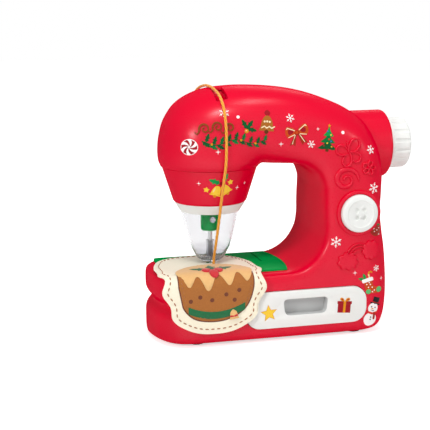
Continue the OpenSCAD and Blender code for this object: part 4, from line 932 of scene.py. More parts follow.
def holly(length):
    """Three leaves with pale veins and one berry."""
    turns = (118, 52, -14)
    leaves = [("deep", moved(holly_leaf(length), turn=a)) for a in turns]
    vein = bar(0.15 * length, 0, 0.8 * length, 0, 0.05 * length, 0.02 * length)
    veins = [("leaf", moved(vein, turn=a)) for a in turns]
    return leaves + veins + [("amber", circle(-0.05 * length, -0.22 * length, 0.2 * length, 14)),
                             ("cream", circle(-0.1 * length, -0.17 * length, 0.06 * length, 8))]


def bow(w):
    """Two looped wings, two tails and a knot, each with a pale stripe."""
    motif = []
    for s in (-1, 1):
        tail = [(0, 0), (s * 0.12, -0.05), (s * 0.4, -0.5), (s * 0.24, -0.46), (s * 0.16, -0.56)]
        loop = [(0, 0.06), (s * 0.2, 0.26), (s * 0.42, 0.34), (s * 0.52, 0.18), (s * 0.5, -0.08), (s * 0.36, -0.2),
                (s * 0.18, -0.1), (0, -0.06)]
        inner = [(s * 0.12, 0.08), (s * 0.3, 0.2), (s * 0.41, 0.14), (s * 0.38, -0.04), (s * 0.22, -0.02)]
        stripe = [(s * 0.08, 0.11), (s * 0.4, 0.29), (s * 0.46, 0.22), (s * 0.44, 0.19), (s * 0.39, 0.24),
                  (s * 0.1, 0.08)]
        motif += [("rust", tail), ("cream", bar(s * 0.1, -0.1, s * 0.27, -0.44, 0.03)),
                  ("ember", round_corners(loop, 0.12)), ("wine", round_corners(inner, 0.06)), ("cream", stripe),
                  ("cream", bar(s * 0.12, -0.07, s * 0.4, -0.14, 0.03))]
    motif += [("rust", circle(0, 0, 0.1, 14)), ("ember", circle(-0.01, 0.01, 0.07, 12))]
    return shape(motif, size=w)


def fir_tree(h):
    """Three tiers with baubles, a star and a trunk."""
    motif = [("bark", rectangle(-0.06, 0.06, -0.52, -0.38))]
    for ink, low, high, half in (("deep", -0.42, 0.0, 0.38), ("leaf", -0.17, 0.22, 0.29), ("fresh", 0.08, 0.44, 0.2)):
        waist, dip = mix(low, high, 0.45), low - 0.03
        hem = [(half, low), (half * 0.5, dip), (0.1 * half, low + 0.01), (-half * 0.5, dip), (-half, low)]
        motif.append((ink, [(0, high), (half * 0.35, waist)] + hem + [(-half * 0.35, waist)]))
    for ink, x, y in (("scarlet", -0.12, 0.04), ("gold", 0.09, 0.12), ("blue", 0.12, -0.12), ("gold", -0.02, -0.2),
                      ("wine", -0.14, -0.3), ("amber", 0.16, -0.32), ("blue", -0.05, 0.24), ("scarlet", 0.03, -0.05)):
        motif.append((ink, circle(x, y, 0.032, 10)))
    motif.append(("amber", star(5, 0.065, 0.035, 90, 0, 0.45)))
    return shape(motif, size=h)


def bauble(r):
    """A round bauble with a sprig, a cap and a few pale dots."""
    motif = [("leaf", moved(holly_leaf(0.85 * r), 0.3 * r, 0.9 * r, 8)),
             ("leaf", moved(holly_leaf(0.7 * r), 0.25 * r, 0.95 * r, 75)), ("rust", circle(0, 0, r, 28)),
             ("wine", stroke([(-0.8 * r, -0.3 * r), (-0.3 * r, -0.5 * r), (0.3 * r, -0.5 * r), (0.8 * r, -0.3 * r)],
                             0.16 * r, 0.16 * r))]
    spots = [(-0.5, 0.5, 0.17), (0.1, 0.1, 0.1), (0.45, -0.75, 0.1), (-0.4, -0.1, 0.08), (0.55, 0.4, 0.08)]
    return motif + [("white", circle(x * r, y * r, s * r, 10)) for x, y, s in spots]


def bell(w):
    """A bell seen from the side, mouth down."""
    body = [(-0.5, -0.42), (-0.38, -0.3), (-0.33, 0.1), (-0.2, 0.38), (0, 0.46), (0.2, 0.38), (0.33, 0.1), (0.38, -0.3),
            (0.5, -0.42)]
    motif = [("amber", circle(0, -0.46, 0.13, 12)), ("gold", round_corners(body, 0.08)),
             ("amber", bar(-0.4, -0.3, 0.4, -0.3, 0.045)), ("cream", bar(-0.18, 0.2, -0.24, -0.12, 0.06))]
    return shape(motif, size=w)


def bells(w):
    """A pair of bells under two leaves and two berries."""
    motif = [("fresh", moved(holly_leaf(0.5), -0.05, 0.3, 160)), ("fresh", moved(holly_leaf(0.42), 0.08, 0.36, 65))]
    motif += shape(bell(0.52), x=0.2, y=0.02, turn=32) + shape(bell(0.52), x=-0.17, y=-0.04, turn=-14)
    motif += [("wine", circle(0, 0.3, 0.08, 12)), ("scarlet", circle(0.1, 0.27, 0.06, 12))]
    return shape(motif, size=w)


def stocking(h):
    """A stocking with a white cuff, dots, a patched heel and toe, a sprig and a cane."""
    boot = [(-0.2, 0.22), (0.16, 0.22), (0.16, -0.08), (0.42, -0.2), (0.44, -0.38), (0.3, -0.44), (-0.02, -0.36),
            (-0.2, -0.18)]
    cane = [(0.08, 0.3), (0.08, 0.52), (0.12, 0.6), (0.2, 0.61), (0.24, 0.54)]
    dots = [(-0.1, 0.1), (0.05, 0.05), (-0.06, -0.05), (0.1, -0.1), (0.16, -0.26), (0.06, -0.3), (0.02, 0.15)]
    motif = [("fresh", moved(holly_leaf(0.3), -0.12, 0.32, 150)), ("fresh", moved(holly_leaf(0.3), -0.1, 0.32, 95)),
             ("amber", stroke(cane, 0.07, 0.06))]
    motif += [("cream", bar(0.08, y, 0.08, y + 0.03, 0.06)) for y in (0.36, 0.46)]
    motif += [("ember", round_corners(boot, 0.1)), ("mint", circle(0.38, -0.31, 0.13, 16)),
              ("mint", circle(-0.1, -0.24, 0.11, 16))]
    motif += [("white", circle(x, y, 0.028, 8)) for x, y in dots]
    motif.append(("white", round_corners(rectangle(-0.26, 0.22, 0.2, 0.36), 0.05)))
    return shape(motif, size=h)


def snowman(h):
    """Two snowballs with a hat, a scarf, a carrot nose and coal buttons."""
    hat = [("black", rectangle(-0.2, 0.2, 0, 0.05)),
           ("black", [(-0.12, 0.04), (0.12, 0.04), (0.13, 0.26), (-0.13, 0.26)]),
           ("scarlet", rectangle(-0.12, 0.12, 0.05, 0.085))]
    smile = ((0.0, 0.065, -0.012), (0.03, 0.053, 0.0), (0.06, 0.053, 0.012))
    motif = [("white", circle(0, -0.26, 0.24, 30)), ("white", circle(0.05, 0.14, 0.19, 28))]
    motif += shape(hat, x=0.1, y=0.28, turn=-12)
    motif += [("scarlet", bar(-0.12, 0.0, 0.04, -0.05, 0.07)), ("scarlet", bar(0.04, -0.05, 0.2, 0.0, 0.07)),
              ("rust", bar(0.12, -0.05, 0.13, -0.22, 0.08))]
    motif += [("black", circle(x, y, 0.024, 10)) for x, y in ((-0.02, 0.19), (0.12, 0.17))]
    motif.append(("amber", [(0.03, 0.15), (0.07, 0.12), (-0.05, 0.095)]))
    motif += [("black", bar(x, y, x + 0.025, y + d, 0.014)) for x, y, d in smile]
    motif += [("black", circle(0.0, y, 0.02, 10)) for y in (-0.18, -0.26)]
    return shape(motif, size=h)


def gift(w):
    """A wrapped box with a ribbon and a two-looped bow."""
    motif = [("wine", rectangle(-0.45, 0.42, -0.5, 0.1)), ("wine", rectangle(-0.5, 0.48, 0.08, 0.26)),
             ("rust", bar(-0.44, 0.07, 0.42, 0.07, 0.03)), ("amber", rectangle(-0.08, 0.08, -0.5, 0.26))]
    for s in (-1, 1):
        loop = [(0, 0.26), (s * 0.12, 0.46), (s * 0.3, 0.5), (s * 0.36, 0.36), (s * 0.2, 0.26)]
        motif += [("amber", round_corners(loop, 0.08)), ("wine", circle(s * 0.2, 0.37, 0.06, 10))]
    return shape(motif, size=w, turn=-5)


def peppermint(r):
    """A round sweet: white with curved red blades."""
    motif = [("white", circle(0, 0, r, 36))]
    reach = (0.12, 0.35, 0.6, 0.8, 0.94)
    for turn in range(0, 360, 60):
        lead = [arc_point(0, 0, f * r, turn + 50 * f) for f in reach]
        back = [arc_point(0, 0, f * r, turn + 30 + 50 * f) for f in reversed(reach)]
        motif.append(("wine", lead + back))
    return motif


def biscuit(r):
    """A gingerbread bell-shaped biscuit hung on a ribbon, iced along its edge."""
    body = [(-0.8, -0.7), (-0.62, -0.4), (-0.55, 0.15), (-0.3, 0.65), (0, 0.8), (0.3, 0.65), (0.55, 0.15), (0.62, -0.4),
            (0.8, -0.7)]
    loop = open_run([(0, 0.7), (-0.22, 1.0), (0, 1.24), (0.22, 1.0), (0, 0.7)], 5)
    motif = [("wine", stroke(loop, 0.13, 0.13)),
             ("caramel", round_corners(body, 0.2)), ("bark", circle(0, -0.78, 0.2, 14))]
    for k in range(5):
        x = -0.5 + 0.25 * k
        motif.append(("cream", bar(x, -0.42 + 0.16 * (k % 2), x + 0.25, -0.26 - 0.16 * (k % 2), 0.11)))
    motif += [("cream", circle(x, 0.2 - 0.1 * abs(x), 0.1, 10)) for x in (-0.25, 0.0, 0.25)]
    return shape(motif, size=r)


def leaf_vine():
    """A waving stem of dark leaves and berries under a row of bronze scrolls."""
    stem = [(x, 2.0 * math.sin(0.2 * x + 0.8)) for x in range(-23, 33, 2)]
    motif = [("deep", stroke(stem, 1.0, 0.5))]
    for k, (x, y) in enumerate(stem[1:-1:3]):
        for side in (-1, 1):
            leaf = moved(holly_leaf(7.6 - 0.25 * k), x + 1.5 * side, y, 20 + side * 52)
            motif.append(("leaf" if (k + side) % 3 == 0 else "deep", leaf))
    motif += [("amber", circle(x, y + 0.3, 0.95, 12)) for x, y in stem[4:-2:6]]
    for x, y, r, start in ((-20.5, 10.8, 4.6, 200), (-10, 12.4, 4.2, 190), (0, 11.6, 4.0, 200)):
        curl = [arc_point(x, y, r * (1 - 0.82 * f), start - 470 * f) for f in (k / 24 for k in range(25))]
        tail = [(x - r - 3.5 + 4 * f, y - 2.2 - 2.4 * math.sin(math.pi * f) + f) for f in (k / 5 for k in range(6))]
        motif += [("bronze", stroke(curl, 1.5, 0.7)), ("bronze", stroke(tail, 0.4, 1.3))]
    return motif


# An ink film stands this far off its carrier, each later layer a step further, and its underside in the carrier
FILM, FILM_STEP, FILM_LAYERS, FILM_SPACING, FILM_SUNK = 0.13, 0.035, 24, 1.3, 0.15
CAST_FROM = 25.0


def surface_of(piece):
    """A piece's faces, ready for ray casts."""
    graph = bpy.context.evaluated_depsgraph_get()
    return BVHTree.FromObject(piece.evaluated_get(graph), graph)


def lay_on(carrier, spot, way):
    """Where a point meets a carrier on its way to it, else the nearest place, with the face's normal."""
    hit, normal, *_ = carrier.ray_cast((spot - way * CAST_FROM) * MM, way)
    if hit is None:
        hit, normal, *_ = carrier.find_nearest(spot * MM)
    return hit / MM, normal


def film(outline, spacing):
    """Triangles of an outline, with inner points so that it can follow a curved face."""
    xs, ys = [p[0] for p in outline], [p[1] for p in outline]
    points = [Vector(p) for p in outline]
    x = min(xs) + spacing / 2
    while x < max(xs):
        y = min(ys) + spacing / 2
        while y < max(ys):
            points.append(Vector((x, y)))
            y += spacing
        x += spacing
    corners, _, faces, *_ = delaunay_2d_cdt(points, [], [list(range(len(outline)))], 1, 1e-5)
    used = sorted({i for f in faces for i in f})
    index = {old: new for new, old in enumerate(used)}
    return [corners[i] for i in used], [[index[i] for i in f] for f in faces]


def print_motif(name, motif, carrier, centre, way, body="root", slot="red_shell", stretch=1.0):
    """Lays a motif's films on a carrier: centre is a point near it, way the direction towards it."""
    way = Vector(way).normalized()
    across = way.cross(UP).normalized()
    upward = across.cross(way)
    inks = list(dict.fromkeys(ink for ink, _ in motif))
    spots, faces, tones = [], [], []
    for layer, (ink, outline) in enumerate(motif):
        flat, cells = film(outline, FILM_SPACING)
        lift = FILM + FILM_STEP * min(layer, FILM_LAYERS)
        first, n = len(spots), len(flat)
        for x, y in flat:
            hit, normal = lay_on(carrier, Vector(centre) + across * (x * stretch) + upward * y, way)
            spots.append(hit + normal * lift)
        spots += [p + way * (lift + FILM_SUNK) for p in spots[first:]]
        layer_faces = [[first + i for i in cell] for cell in cells]
        layer_faces += [[first + n + i for i in reversed(cell)] for cell in cells]
        layer_faces += [[first + a, first + n + a, first + n + b, first + b] for a, b in rim_edges(cells)]
        faces += layer_faces
        tones += [inks.index(ink)] * len(layer_faces)
    mesh = bpy.data.meshes.new(name)
    mesh.from_pydata([p * MM for p in spots], [], faces)
    for ink in inks:
        mesh.materials.append(INKS[ink])
    mesh.polygons.foreach_set("material_index", tones)
    mesh.update()
    return settle(new_object(name, mesh), body, slot)


FRONT_WAY, FRONT_NEAR = Vector((0, 1, 0)), -46.0
# x, z and size of the small white prints on the housing
FLAKES = ((-57.3, 193.3, 4.0), (-2.4, 187.7, 3.5), (15.5, 165.6, 3.2), (68.8, 158.6, 3.8), (70.8, 126.1, 4.5),
          (36.3, 82.5, 4.5), (72.9, 57.4, 2.7))
DOTS = ((-46.4, 190, 1.3), (43.5, 174.1, 1.4))
SPARKLES = ((-64.2, 162.4, 2.4), (-10.3, 166.6, 2.3), (21.5, 177.9, 1.7), (53.3, 54.8, 2.1), (78.7, 47.6, 2.0))
# Each motif's x and z, and how far it is stretched across to look even on the curved face
PICTURES = {
    "holly_print": (shape(holly(8.6), x=-0.5, y=-0.6), -38.9, 181.0, 1.0),
    "bow_print": (shape(bow(19.5), turn=9), 3.3, 175.6, 1.0),
    "tree_print": (shape(fir_tree(22.0), turn=-7), 30.4, 170.2, 1.02),
    "bauble_print": (bauble(4.6), 73.4, 89.6, 1.35),
    "stocking_print": (shape(stocking(19.5), turn=14), 66.6, 42.6, 1.1),
    "snowman_print": (shape(snowman(24.5), turn=-8), 68.8, 19.2, 1.05),
    "vine_print": (leaf_vine(), -54.0, 169.9, 1.0),
    "peppermint_print": (peppermint(6.6), -86.3, 166.2, 1.15),
    "biscuit_print": (shape(biscuit(8.6), turn=-6), -22.4, 184.0, 1.0)}
VINE_WAY = (0.2, 1, 0)
SKIRT_PRINTS = ((-60.2, 129.5, bells(20.0)), (-72.0, 129.9, [("gold", star(5, 2.7, 1.5, 80))]),
                (-52.5, 136.4, [("gold", star(5, 2.7, 1.5, 100))]), (-77.4, 135.9, sparkle(2.1)),
                (-45.2, 130.4, sparkle(2.1)), (-38.4, 133.8, sparkle(1.5)))
SKIRT_PRINT_R, SKIRT_LEAN = 36.0, 10.0
DRAWER_PRINTS = {"gift_print": (gift(13.2), 43.6, 27.9),
                 "star_print": ([("amber", star(5, 7.4, 3.4, 96)), ("gold", star(5, 6.7, 3.0, 96))], -23.2, 25.8)}


def print_housing(front, skirt, drawer_front):
    """All prints: on the front housing, on the skirt's cone and on the drawer's face."""
    face, cone, panel = (surface_of(piece) for piece in (front, skirt, drawer_front))

    def print_front(name, motif, x, z, stretch=1.0, way=None):
        hit, normal = lay_on(face, Vector((x, FRONT_NEAR, z)), FRONT_WAY)
        print_motif(name, motif, face, hit, way or -normal, stretch=stretch)

    for i, (x, z, r) in enumerate(FLAKES):
        print_front(f"snowflake_{i}", shape(snowflake(r), turn=11 * i), x, z)
    glints = [([("white", circle(0, 0, r, 16))], x, z) for x, z, r in DOTS]
    glints += [(sparkle(r), x, z) for x, z, r in SPARKLES]
    for i, glint in enumerate(glints):
        print_front(f"sparkle_{i}", *glint)
    for name, picture in PICTURES.items():
        print_front(name, *picture, way=VINE_WAY if name == "vine_print" else None)
    for i, (x, z, motif) in enumerate(SKIRT_PRINTS):
        y = math.sqrt(SKIRT_PRINT_R ** 2 - (x - NEEDLE_X) ** 2)
        print_motif(f"skirt_print_{i}", motif, cone, (x, -y, z), (NEEDLE_X - x, y, SKIRT_LEAN))
    for name, (motif, x, z) in DRAWER_PRINTS.items():
        print_motif(name, motif, panel, (x, -DRAWER_FACE, z), FRONT_WAY, "drawer", "white_plastic")


RIDGE_HEIGHT, RIDGE_SIDES = 1.5, 10


def ridge(path, width, swell, carrier):
    """A rounded ridge along points on the front: half of a flattened tube, wider by swell in its first half."""
    points, n = [], len(path)
    laid = [lay_on(carrier, Vector(p), FRONT_WAY) for p in path]
    for i, (p, normal) in enumerate(laid):
        run = (laid[min(i + 1, n - 1)][0] - laid[max(i - 1, 0)][0]).normalized()
        side = run.cross(normal).normalized()
        taper = min(1.0, 0.35 + min(i, n - 1 - i) / 3)
        half = width / 2 * taper * (1 + swell * math.sin(math.pi * min(i / (0.6 * n), 1)))
        for a in (2 * math.pi * k / RIDGE_SIDES for k in range(RIDGE_SIDES)):
            points.append(p + side * (half * math.cos(a)) + normal * (RIDGE_HEIGHT * taper * math.sin(a)))
    return points


def wing(length, width, turn):
    """One petal or wing as a closed line from the origin."""
    knots = [(0, 0), (0.35 * length, 0.46 * width), (0.8 * length, 0.5 * width), (length, 0),
             (0.8 * length, -0.5 * width), (0.35 * length, -0.46 * width)]
    return moved(closed_run(knots), turn=turn)


BUTTERFLY, FLOWER, SPIRAL, RAINBOW = (48.6, 157.0), (66.3, 143.6), (46.0, 134.4), (57.2, 67.2)
CLOUDS = ((46.6, 65.2, 14.5, 12.5), (67.2, 73.6, 12.5, 13.5))
# A cloud's section from its edge inwards: scale and height
CLOUD_SECTION = ((1.07, -0.4), (1.06, 0.8), (1.0, 1.6), (0.9, 1.9), (0.6, 1.95), (0.3, 1.95))


def relief_lines():
    """The moulded pictures on the column's front: lines in X and Z, each with its width and swell."""
    wings = ((13.5, 8.0, 52), (11.5, 7.2, -33), (12.0, 7.6, 160), (11.5, 7.0, -105))
    feelers = ([(-1.2, 2), (-3.4, 5.5), (-6.4, 7.0)], [(-0.6, 2.4), (-1.4, 7), (-2.4, 10.0)])
    lines = [(moved(wing(*one), *BUTTERFLY), 2.2, 0) for one in wings]
    lines += [(moved(open_run(one), *BUTTERFLY), 1.8, 0) for one in feelers]
    lines += [(moved(wing(6.0, 3.6, turn), *FLOWER), 1.9, 0) for turn in (70, 0, -70, 150, -140)]
    spiral = []
    for f in (k / 63 for k in range(64)):
        a = math.radians(-10 + 560 * f)
        spiral.append((SPIRAL[0] + mix(11.2, 1.5, f) * math.cos(a), SPIRAL[1] + mix(10.6, 1.3, f) * math.sin(a)))
    lines.append((spiral, 2.4, 1.0))
    for r in (7.6, 10.2, 12.8):
        turns = [math.radians(a) for a in range(158, 52, -6)]
        lines.append(([(RAINBOW[0] + 0.95 * r * math.cos(a), RAINBOW[1] + r * math.sin(a)) for a in turns], 1.5, 0))
    return lines


def cloud(x, z, w, h):
    """A cloud's outline: nine puffs round its middle."""
    puffs = [(0.5, 0.1), (0.34, 0.38), (0.05, 0.5), (-0.28, 0.4), (-0.5, 0.12), (-0.42, -0.3), (-0.12, -0.46),
             (0.22, -0.44), (0.46, -0.24)]
    outline = []
    for a, b in zip(puffs, puffs[1:] + puffs[:1]):
        a, b = Vector(a), Vector(b)
        outward = ((a + b) / 2).normalized()
        outline += [a.lerp(b, f) + outward * 0.15 * math.sin(math.pi * f) for f in (k / 5 for k in range(5))]
    return [(x + p[0] * w, z + p[1] * h) for p in outline]


def make_reliefs(front):
    """The line pictures and the clouds, moulded in one with the housing."""
    face = surface_of(front)
    points, faces = [], []
    for line, width, swell in relief_lines():
        faces += capped_bands(len(line), RIDGE_SIDES, len(points))
        points += ridge([(x, FRONT_NEAR, z) for x, z in line], width, swell, face)
    settle(build_mesh("relief_lines", points, faces, RED_ABS, 60), "root", "red_shell")
    points, faces = [], []
    for outline in (cloud(*one) for one in CLOUDS):
        n = len(outline)
        cx, cz = sum(p[0] for p in outline) / n, sum(p[1] for p in outline) / n
        faces += capped_bands(len(CLOUD_SECTION), n, len(points))
        for scale, lift in CLOUD_SECTION:
            for x, z in outline:
                hit, normal = lay_on(face, Vector((mix(cx, x, scale), FRONT_NEAR, mix(cz, z, scale))), FRONT_WAY)
                points.append(hit + normal * lift)
    settle(build_mesh("relief_clouds", points, faces, RED_ABS, 50), "root", "red_shell")


# Felt patch: bent over the bed's front edge, with applied felt shapes and running stitches

FELT_T, FELT_BEND, FELT_Z = 2.0, 9.0, 60.3
FELT_EDGE = HALF_DEPTH + 3 - FELT_BEND
FELT_BACK, FELT_LENGTH, FELT_HALF, FELT_X, FELT_HOLE = 25.0, 120.0, 43.0, -70.0, 3.4
FELT_WAVE, WAVE_FROM, WAVE_GROWS, WAVE_LEAST, WAVE_TURN = 0.05, 48.0, 24.0, 0.15, 900.0
FELT_GATHERED, FELT_EDGE_STEPS, FELT_AREA_STEPS, SEAM_INSET = 0.3, 180, 200, 4.2


def felt_width(s):
    """Half the cloth's width at s from its back edge; the edge waves where the cloth hangs."""
    f = 2 * s / FELT_LENGTH - 1
    wave = FELT_WAVE * min(max((s - WAVE_FROM) / WAVE_GROWS, WAVE_LEAST), 1)
    return FELT_HALF * max(1 - abs(f) ** 3, 0) ** (1 / 2.6) * (1 + wave * math.cos(math.radians(WAVE_TURN * f)))


def felt_place(x, s, lift):
    """A point of the cloth: x across, s from its back edge, lift above its under face."""
    bent = s - FELT_BACK - FELT_EDGE
    a = min(max(bent / FELT_BEND, 0), math.pi / 2)
    r = FELT_BEND + lift
    hang = max(bent - FELT_BEND * math.pi / 2, 0)
    y = FELT_BACK - s if bent <= 0 else -FELT_EDGE - r * math.sin(a)
    z = FELT_Z - FELT_BEND + (r if bent <= 0 else r * math.cos(a)) - hang
    return Vector((FELT_X + x, y, z))


def felt_outline(inset):
    """The cut edge as points of x and s, moved inwards by inset."""
    turns = [math.pi * k / FELT_EDGE_STEPS for k in range(FELT_EDGE_STEPS + 1)]
    lengths = [FELT_LENGTH * (0.5 - 0.5 * math.cos(a)) for a in turns]
    edge = [Vector((felt_width(s), s)) for s in lengths]
    loop = edge + [Vector((-x, s)) for x, s in edge[-2:0:-1]]
    inner = []
    for i, p in enumerate(loop):
        run = loop[(i + 2) % len(loop)] - loop[i - 2]
        inner.append(p + Vector((-run[1], run[0])).normalized() * inset)
    return inner


def felt_film(name, outline, low, high, material, spacing=2.6, hole=None, soft_edge=0.35):
    """A closed sheet from an outline, laid on the bent cloth between two heights, its edge a little rounded."""
    flat, cells = film([tuple(p) for p in outline], spacing)
    if hole:
        cells = [c for c in cells if min((Vector(flat[i]) - hole).length for i in c) > FELT_HOLE]
    n, edges = len(flat), rim_edges(cells)
    rim = {i for edge in edges for i in edge}
    points = [felt_place(x, s, high - (soft_edge if i in rim else 0)) for i, (x, s) in enumerate(flat)]
    points += [felt_place(x, s, low + (soft_edge * 0.5 if i in rim else 0)) for i, (x, s) in enumerate(flat)]
    faces = [list(c) for c in cells] + [[n + i for i in reversed(c)] for c in cells]
    faces += [[a, n + a, n + b, b] for a, b in edges]
    return build_mesh(name, points, faces, material, 50)


def stitch_tree():
    """Node tree that sets one long bead on each step of a seam line; returns it with its inputs' identifiers."""
    tree = bpy.data.node_groups.new("running_stitches", "GeometryNodeTree")
    sockets = {}
    for label, kind in (("Seam", "NodeSocketGeometry"), ("Stitch Radius", "NodeSocketFloat"),
                        ("Stitch Length", "NodeSocketFloat"), ("Step", "NodeSocketFloat")):
        sockets[label] = tree.interface.new_socket(label, in_out="INPUT", socket_type=kind).identifier
    tree.interface.new_socket("Stitches", in_out="OUTPUT", socket_type="NodeSocketGeometry")
    entry = add(tree, "NodeGroupInput").outputs
    line = add(tree, "GeometryNodeMeshToCurve", {"Mesh": entry["Seam"]})
    steps = add(tree, "GeometryNodeCurveToPoints", {"Curve": line.outputs["Curve"], "Length": entry["Step"]},
                mode="LENGTH")
    lie = add(tree, "FunctionNodeAlignRotationToVector", {"Vector": steps.outputs["Tangent"]}, axis="Z")
    bead = add(tree, "GeometryNodeMeshUVSphere", {"Segments": 8, "Rings": 6, "Radius": 1.0})
    size = add(tree, "ShaderNodeCombineXYZ", {"X": entry["Stitch Radius"], "Y": entry["Stitch Radius"],
                                              "Z": entry["Stitch Length"]})
    beads = add(tree, "GeometryNodeInstanceOnPoints", {
        "Points": steps.outputs["Points"], "Instance": bead.outputs["Mesh"], "Rotation": lie.outputs["Rotation"],
        "Scale": size.outputs["Vector"]})
    real = add(tree, "GeometryNodeRealizeInstances", {"Geometry": beads.outputs["Instances"]})
    cotton = add(tree, "GeometryNodeSetMaterial", {"Geometry": real.outputs["Geometry"], "Material": STITCH_COTTON})
    add(tree, "NodeGroupOutput", {0: cotton.outputs["Geometry"]})
    return tree, sockets


def make_stitches(sewing, name, seam, radius, length, step):
    """Running stitches round one closed seam line, by the tree and sockets that stitch_tree gives."""
    tree, sockets = sewing
    mesh = bpy.data.meshes.new(name)
    mesh.from_pydata([p * MM for p in seam], [(i, (i + 1) % len(seam)) for i in range(len(seam))], [])
    piece = new_object(name, mesh)
    stitches = piece.modifiers.new("stitches", "NODES")
    stitches.node_group = tree
    for label, size in (("Stitch Radius", radius), ("Stitch Length", length / 2), ("Step", step)):
        stitches[sockets[label]] = size * MM
    plain_mesh(piece)
    piece.data.shade_smooth()
    return piece


# Outlines on the flat cloth, as x across and s from its back edge
PUDDING = [(-30, 80), (-27, 62), (-14, 49), (4, 45), (21, 50), (31, 64), (32, 82), (25, 99), (8, 108), (-14, 107),
           (-26, 97)]
PUDDING_S = 77.0
ICING = [(-30.5, 70), (-27, 58), (-14, 46.5), (4, 42.5), (21, 47), (31.5, 60), (33, 70), (27, 78), (20, 71), (12, 80),
         (3, 72), (-6, 83), (-14, 73), (-22, 80)]
SPRIG, SPRIG_LEAVES = (1, 63), ((196, 19), (-16, 19), (-88, 14))
CURRANTS = ((-13, 88), (-3, 91), (9, 87), (20, 84), (-21, 91), (16, 92))
BERRIES = ((-4.5, 66), (5.5, 66.5), (0.5, 71))
JINGLE = [(-4.5, 4), (-3.4, 2.5), (-2.8, -2), (0, -4.5), (2.8, -2), (3.4, 2.5), (4.5, 4)]
JINGLE_BAND = [(-3.3, 1), (0, 1.6), (3.3, 1)]
JINGLE_PLACE = (15, 104, -8)


def pudding_edge(scale):
    """The pudding's outline, scaled about its middle."""
    return closed_run([(x * scale, mix(PUDDING_S, s, scale)) for x, s in PUDDING], 8)


def felt_layers():
    """The applied shapes: name, outline, lower and upper height over the cloth, and felt."""
    ribbon = [(x, 94 + 7 * (1 - (x / 26) ** 2)) for x in range(-23, 27, 3)]
    ribbon += [(x, s + 6) for x, s in reversed(ribbon)]
    layers = [("rim", pudding_edge(1.035), 0.0, 0.5, DARK_FELT), ("pudding", pudding_edge(1.0), 0.1, 0.9, BROWN_FELT),
              ("icing", closed_run(ICING, 8), 0.85, 1.6, TAN_FELT), ("ribbon", ribbon, 0.85, 1.5, GREEN_FELT)]
    for i, (turn, size) in enumerate(SPRIG_LEAVES):
        layers.append((f"leaf_{i}", moved(holly_leaf(size), *SPRIG, turn), 1.0, 2.0 + 0.1 * i, GREEN_FELT))
    for i, (x, s) in enumerate(CURRANTS):
        layers.append((f"currant_{i}", circle(x, s, 1.8, 14), 0.7, 1.3, DARK_FELT))
    band = stroke(moved(JINGLE_BAND, *JINGLE_PLACE), 1.6, 1.6)
    layers += [("bell", round_corners(moved(JINGLE, *JINGLE_PLACE), 1.2), 1.2, 2.2, TAN_FELT),
               ("bell_band", band, 1.9, 2.5, RED_FELT)]
    return layers


def make_felt():
    """The cloth with its seam stitches and applied shapes."""
    hole = Vector((NEEDLE_X - FELT_X, FELT_BACK))
    cloth = felt_film("felt", felt_outline(0.0), 0.0, FELT_T, CREAM_FELT, 2.4, hole)
    settle(cloth, "root", "felt", "felt_patch")
    seam = [felt_place(*p, FELT_T + 0.1) for p in felt_outline(SEAM_INSET)]
    sewing = stitch_tree()
    extras = [make_stitches(sewing, "felt_stitches", seam, 0.5, 3.2, 5.0)]
    for name, outline, low, high, material in felt_layers():
        extras.append(felt_film("felt_" + name, outline, FELT_T + low, FELT_T + high, material))
    for i, (x, s) in enumerate(BERRIES):
        extras.append(felt_film(f"felt_berry_{i}", circle(x, s, 4.0, 24), FELT_T + 1.2, FELT_T + 2.9, RED_FELT, 1.6,
                                soft_edge=1.0))
    edge = [felt_place(*p, FELT_T + 0.95) for p in pudding_edge(0.93)]
    extras.append(make_stitches(sewing, "pudding_stitches", edge, 0.34, 2.2, 3.6))
    for piece in extras:
        settle(piece, "root", "felt")
    for piece in [cloth] + extras:
        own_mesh(piece)


# Stage and light

def background_rays(tree):
    """1 for the rays that see the background: those from the camera, mirrored or passing through."""
    rays = add(tree, "ShaderNodeLightPath").outputs
    direct = add(tree, "ShaderNodeMath", {0: rays["Is Camera Ray"], 1: rays["Is Transmission Ray"]},
                 operation="MAXIMUM")
    every = add(tree, "ShaderNodeMath", {0: direct.outputs["Value"], 1: rays["Is Glossy Ray"]}, operation="MAXIMUM")
    return every.outputs["Value"]


WORLD_LIGHT = 0.39
FLOOR_HALF, FLOOR_CLOUD_MM = 3000, 1000 / 3
# Place, target, size (in metres) and power
LAMPS = {"top_softbox": ((-0.15, -0.42, 0.85), (0, 0, 0.14), (0.15, 0.11), 2.5),
         "crown_softbox": ((0.14, -0.05, 0.85), (0, 0, 0.2), (0.22, 0.04), 1.4),
         "left_softbox": ((-0.85, -0.6, 0.5), (-0.02, 0, 0.1), (0.13, 0.2), 3.0),
         "right_softbox": ((0.8, -0.75, 0.5), (0.03, 0, 0.1), (0.12, 0.2), 1.8),
         "rear_softbox": ((0.35, 0.95, 0.55), (0, 0, 0.1), (0.3, 0.2), 1.8)}


def add_lamp(name, place, target, size, power):
    """One soft box that faces its target."""
    lamp = bpy.data.objects.new(name, bpy.data.lights.new(name, "AREA"))
    lamp.data.shape = "RECTANGLE"
    lamp.data.size, lamp.data.size_y = size
    lamp.data.energy = power
    lamp.location = place
    lamp.rotation_euler = (Vector(target) - Vector(place)).to_track_quat("-Z", "Y").to_euler()
    bpy.context.scene.collection.objects.link(lamp)


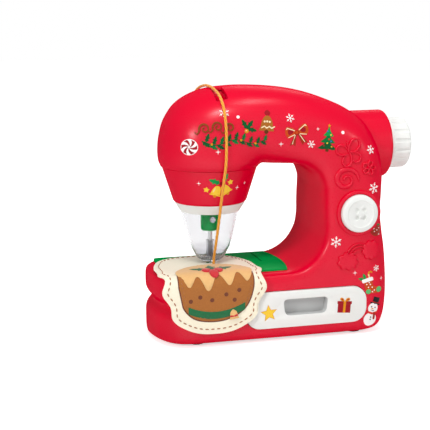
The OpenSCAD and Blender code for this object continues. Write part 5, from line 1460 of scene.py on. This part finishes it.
def make_floor():
    """A pale floor that shows white but keeps the object's shadow."""
    material, tree, shader = base_material("pale_floor")
    place = add(tree, "ShaderNodeTexCoord").outputs["Object"]
    tone = add(tree, "ShaderNodeTexNoise", {"Vector": place, "Scale": 1 / (FLOOR_CLOUD_MM * MM)})
    tint = add(tree, "ShaderNodeMix", {0: tone.outputs["Fac"], 6: colour("#FAFAFA"), 7: colour("#F7F7F7")},
               data_type="RGBA")
    glow = add(tree, "ShaderNodeMath", {0: background_rays(tree), 1: 1 - 0.9 * WORLD_LIGHT}, operation="MULTIPLY")
    plug(shader, {"Base Color": tint.outputs[2], "Emission Strength": glow.outputs["Value"],
                  "Emission Color": colour("#FFFFFF"), "Roughness": 0.9, "Specular IOR Level": 0.0})
    corners = [(x, y, 0) for x, y in rectangle(-FLOOR_HALF, FLOOR_HALF, -FLOOR_HALF, FLOOR_HALF)]
    build_mesh("floor", corners, [[0, 3, 2, 1]], material, recalc=False)


def make_light():
    """Even room light that shows as white, and soft boxes round the object."""
    world = bpy.data.worlds.new("studio")
    bpy.context.scene.world = world
    world.use_nodes = True
    sky = world.node_tree
    sky.nodes.clear()
    room = add(sky, "ShaderNodeBackground", {"Color": colour("#FFFFFF"), "Strength": WORLD_LIGHT})
    white = add(sky, "ShaderNodeBackground", {"Color": colour("#FFFFFF"), "Strength": 1.0})
    both = add(sky, "ShaderNodeMixShader", {0: background_rays(sky), 1: room.outputs["Background"],
                                            2: white.outputs["Background"]})
    add(sky, "ShaderNodeOutputWorld", {"Surface": both.outputs["Shader"]})
    for name, (place, target, size, power) in LAMPS.items():
        add_lamp(name, place, target, size, power)
    bpy.context.scene.view_settings.view_transform = "Standard"


# Assembly

set_camera()
front_housing = settle(make_housing("front_housing", -1), "root", "red_shell", "front_shell")
settle(make_housing("rear_housing", 1), "root", "red_shell", "rear_shell")
make_yarn()
finish_solids()
drawer_face = make_drawer_front()
head_skirt = make_head()
make_button_ring()
make_button_spring()
make_thread_trough()
print_housing(front_housing, head_skirt, drawer_face)
make_reliefs(front_housing)
make_felt()
make_floor()
make_light()
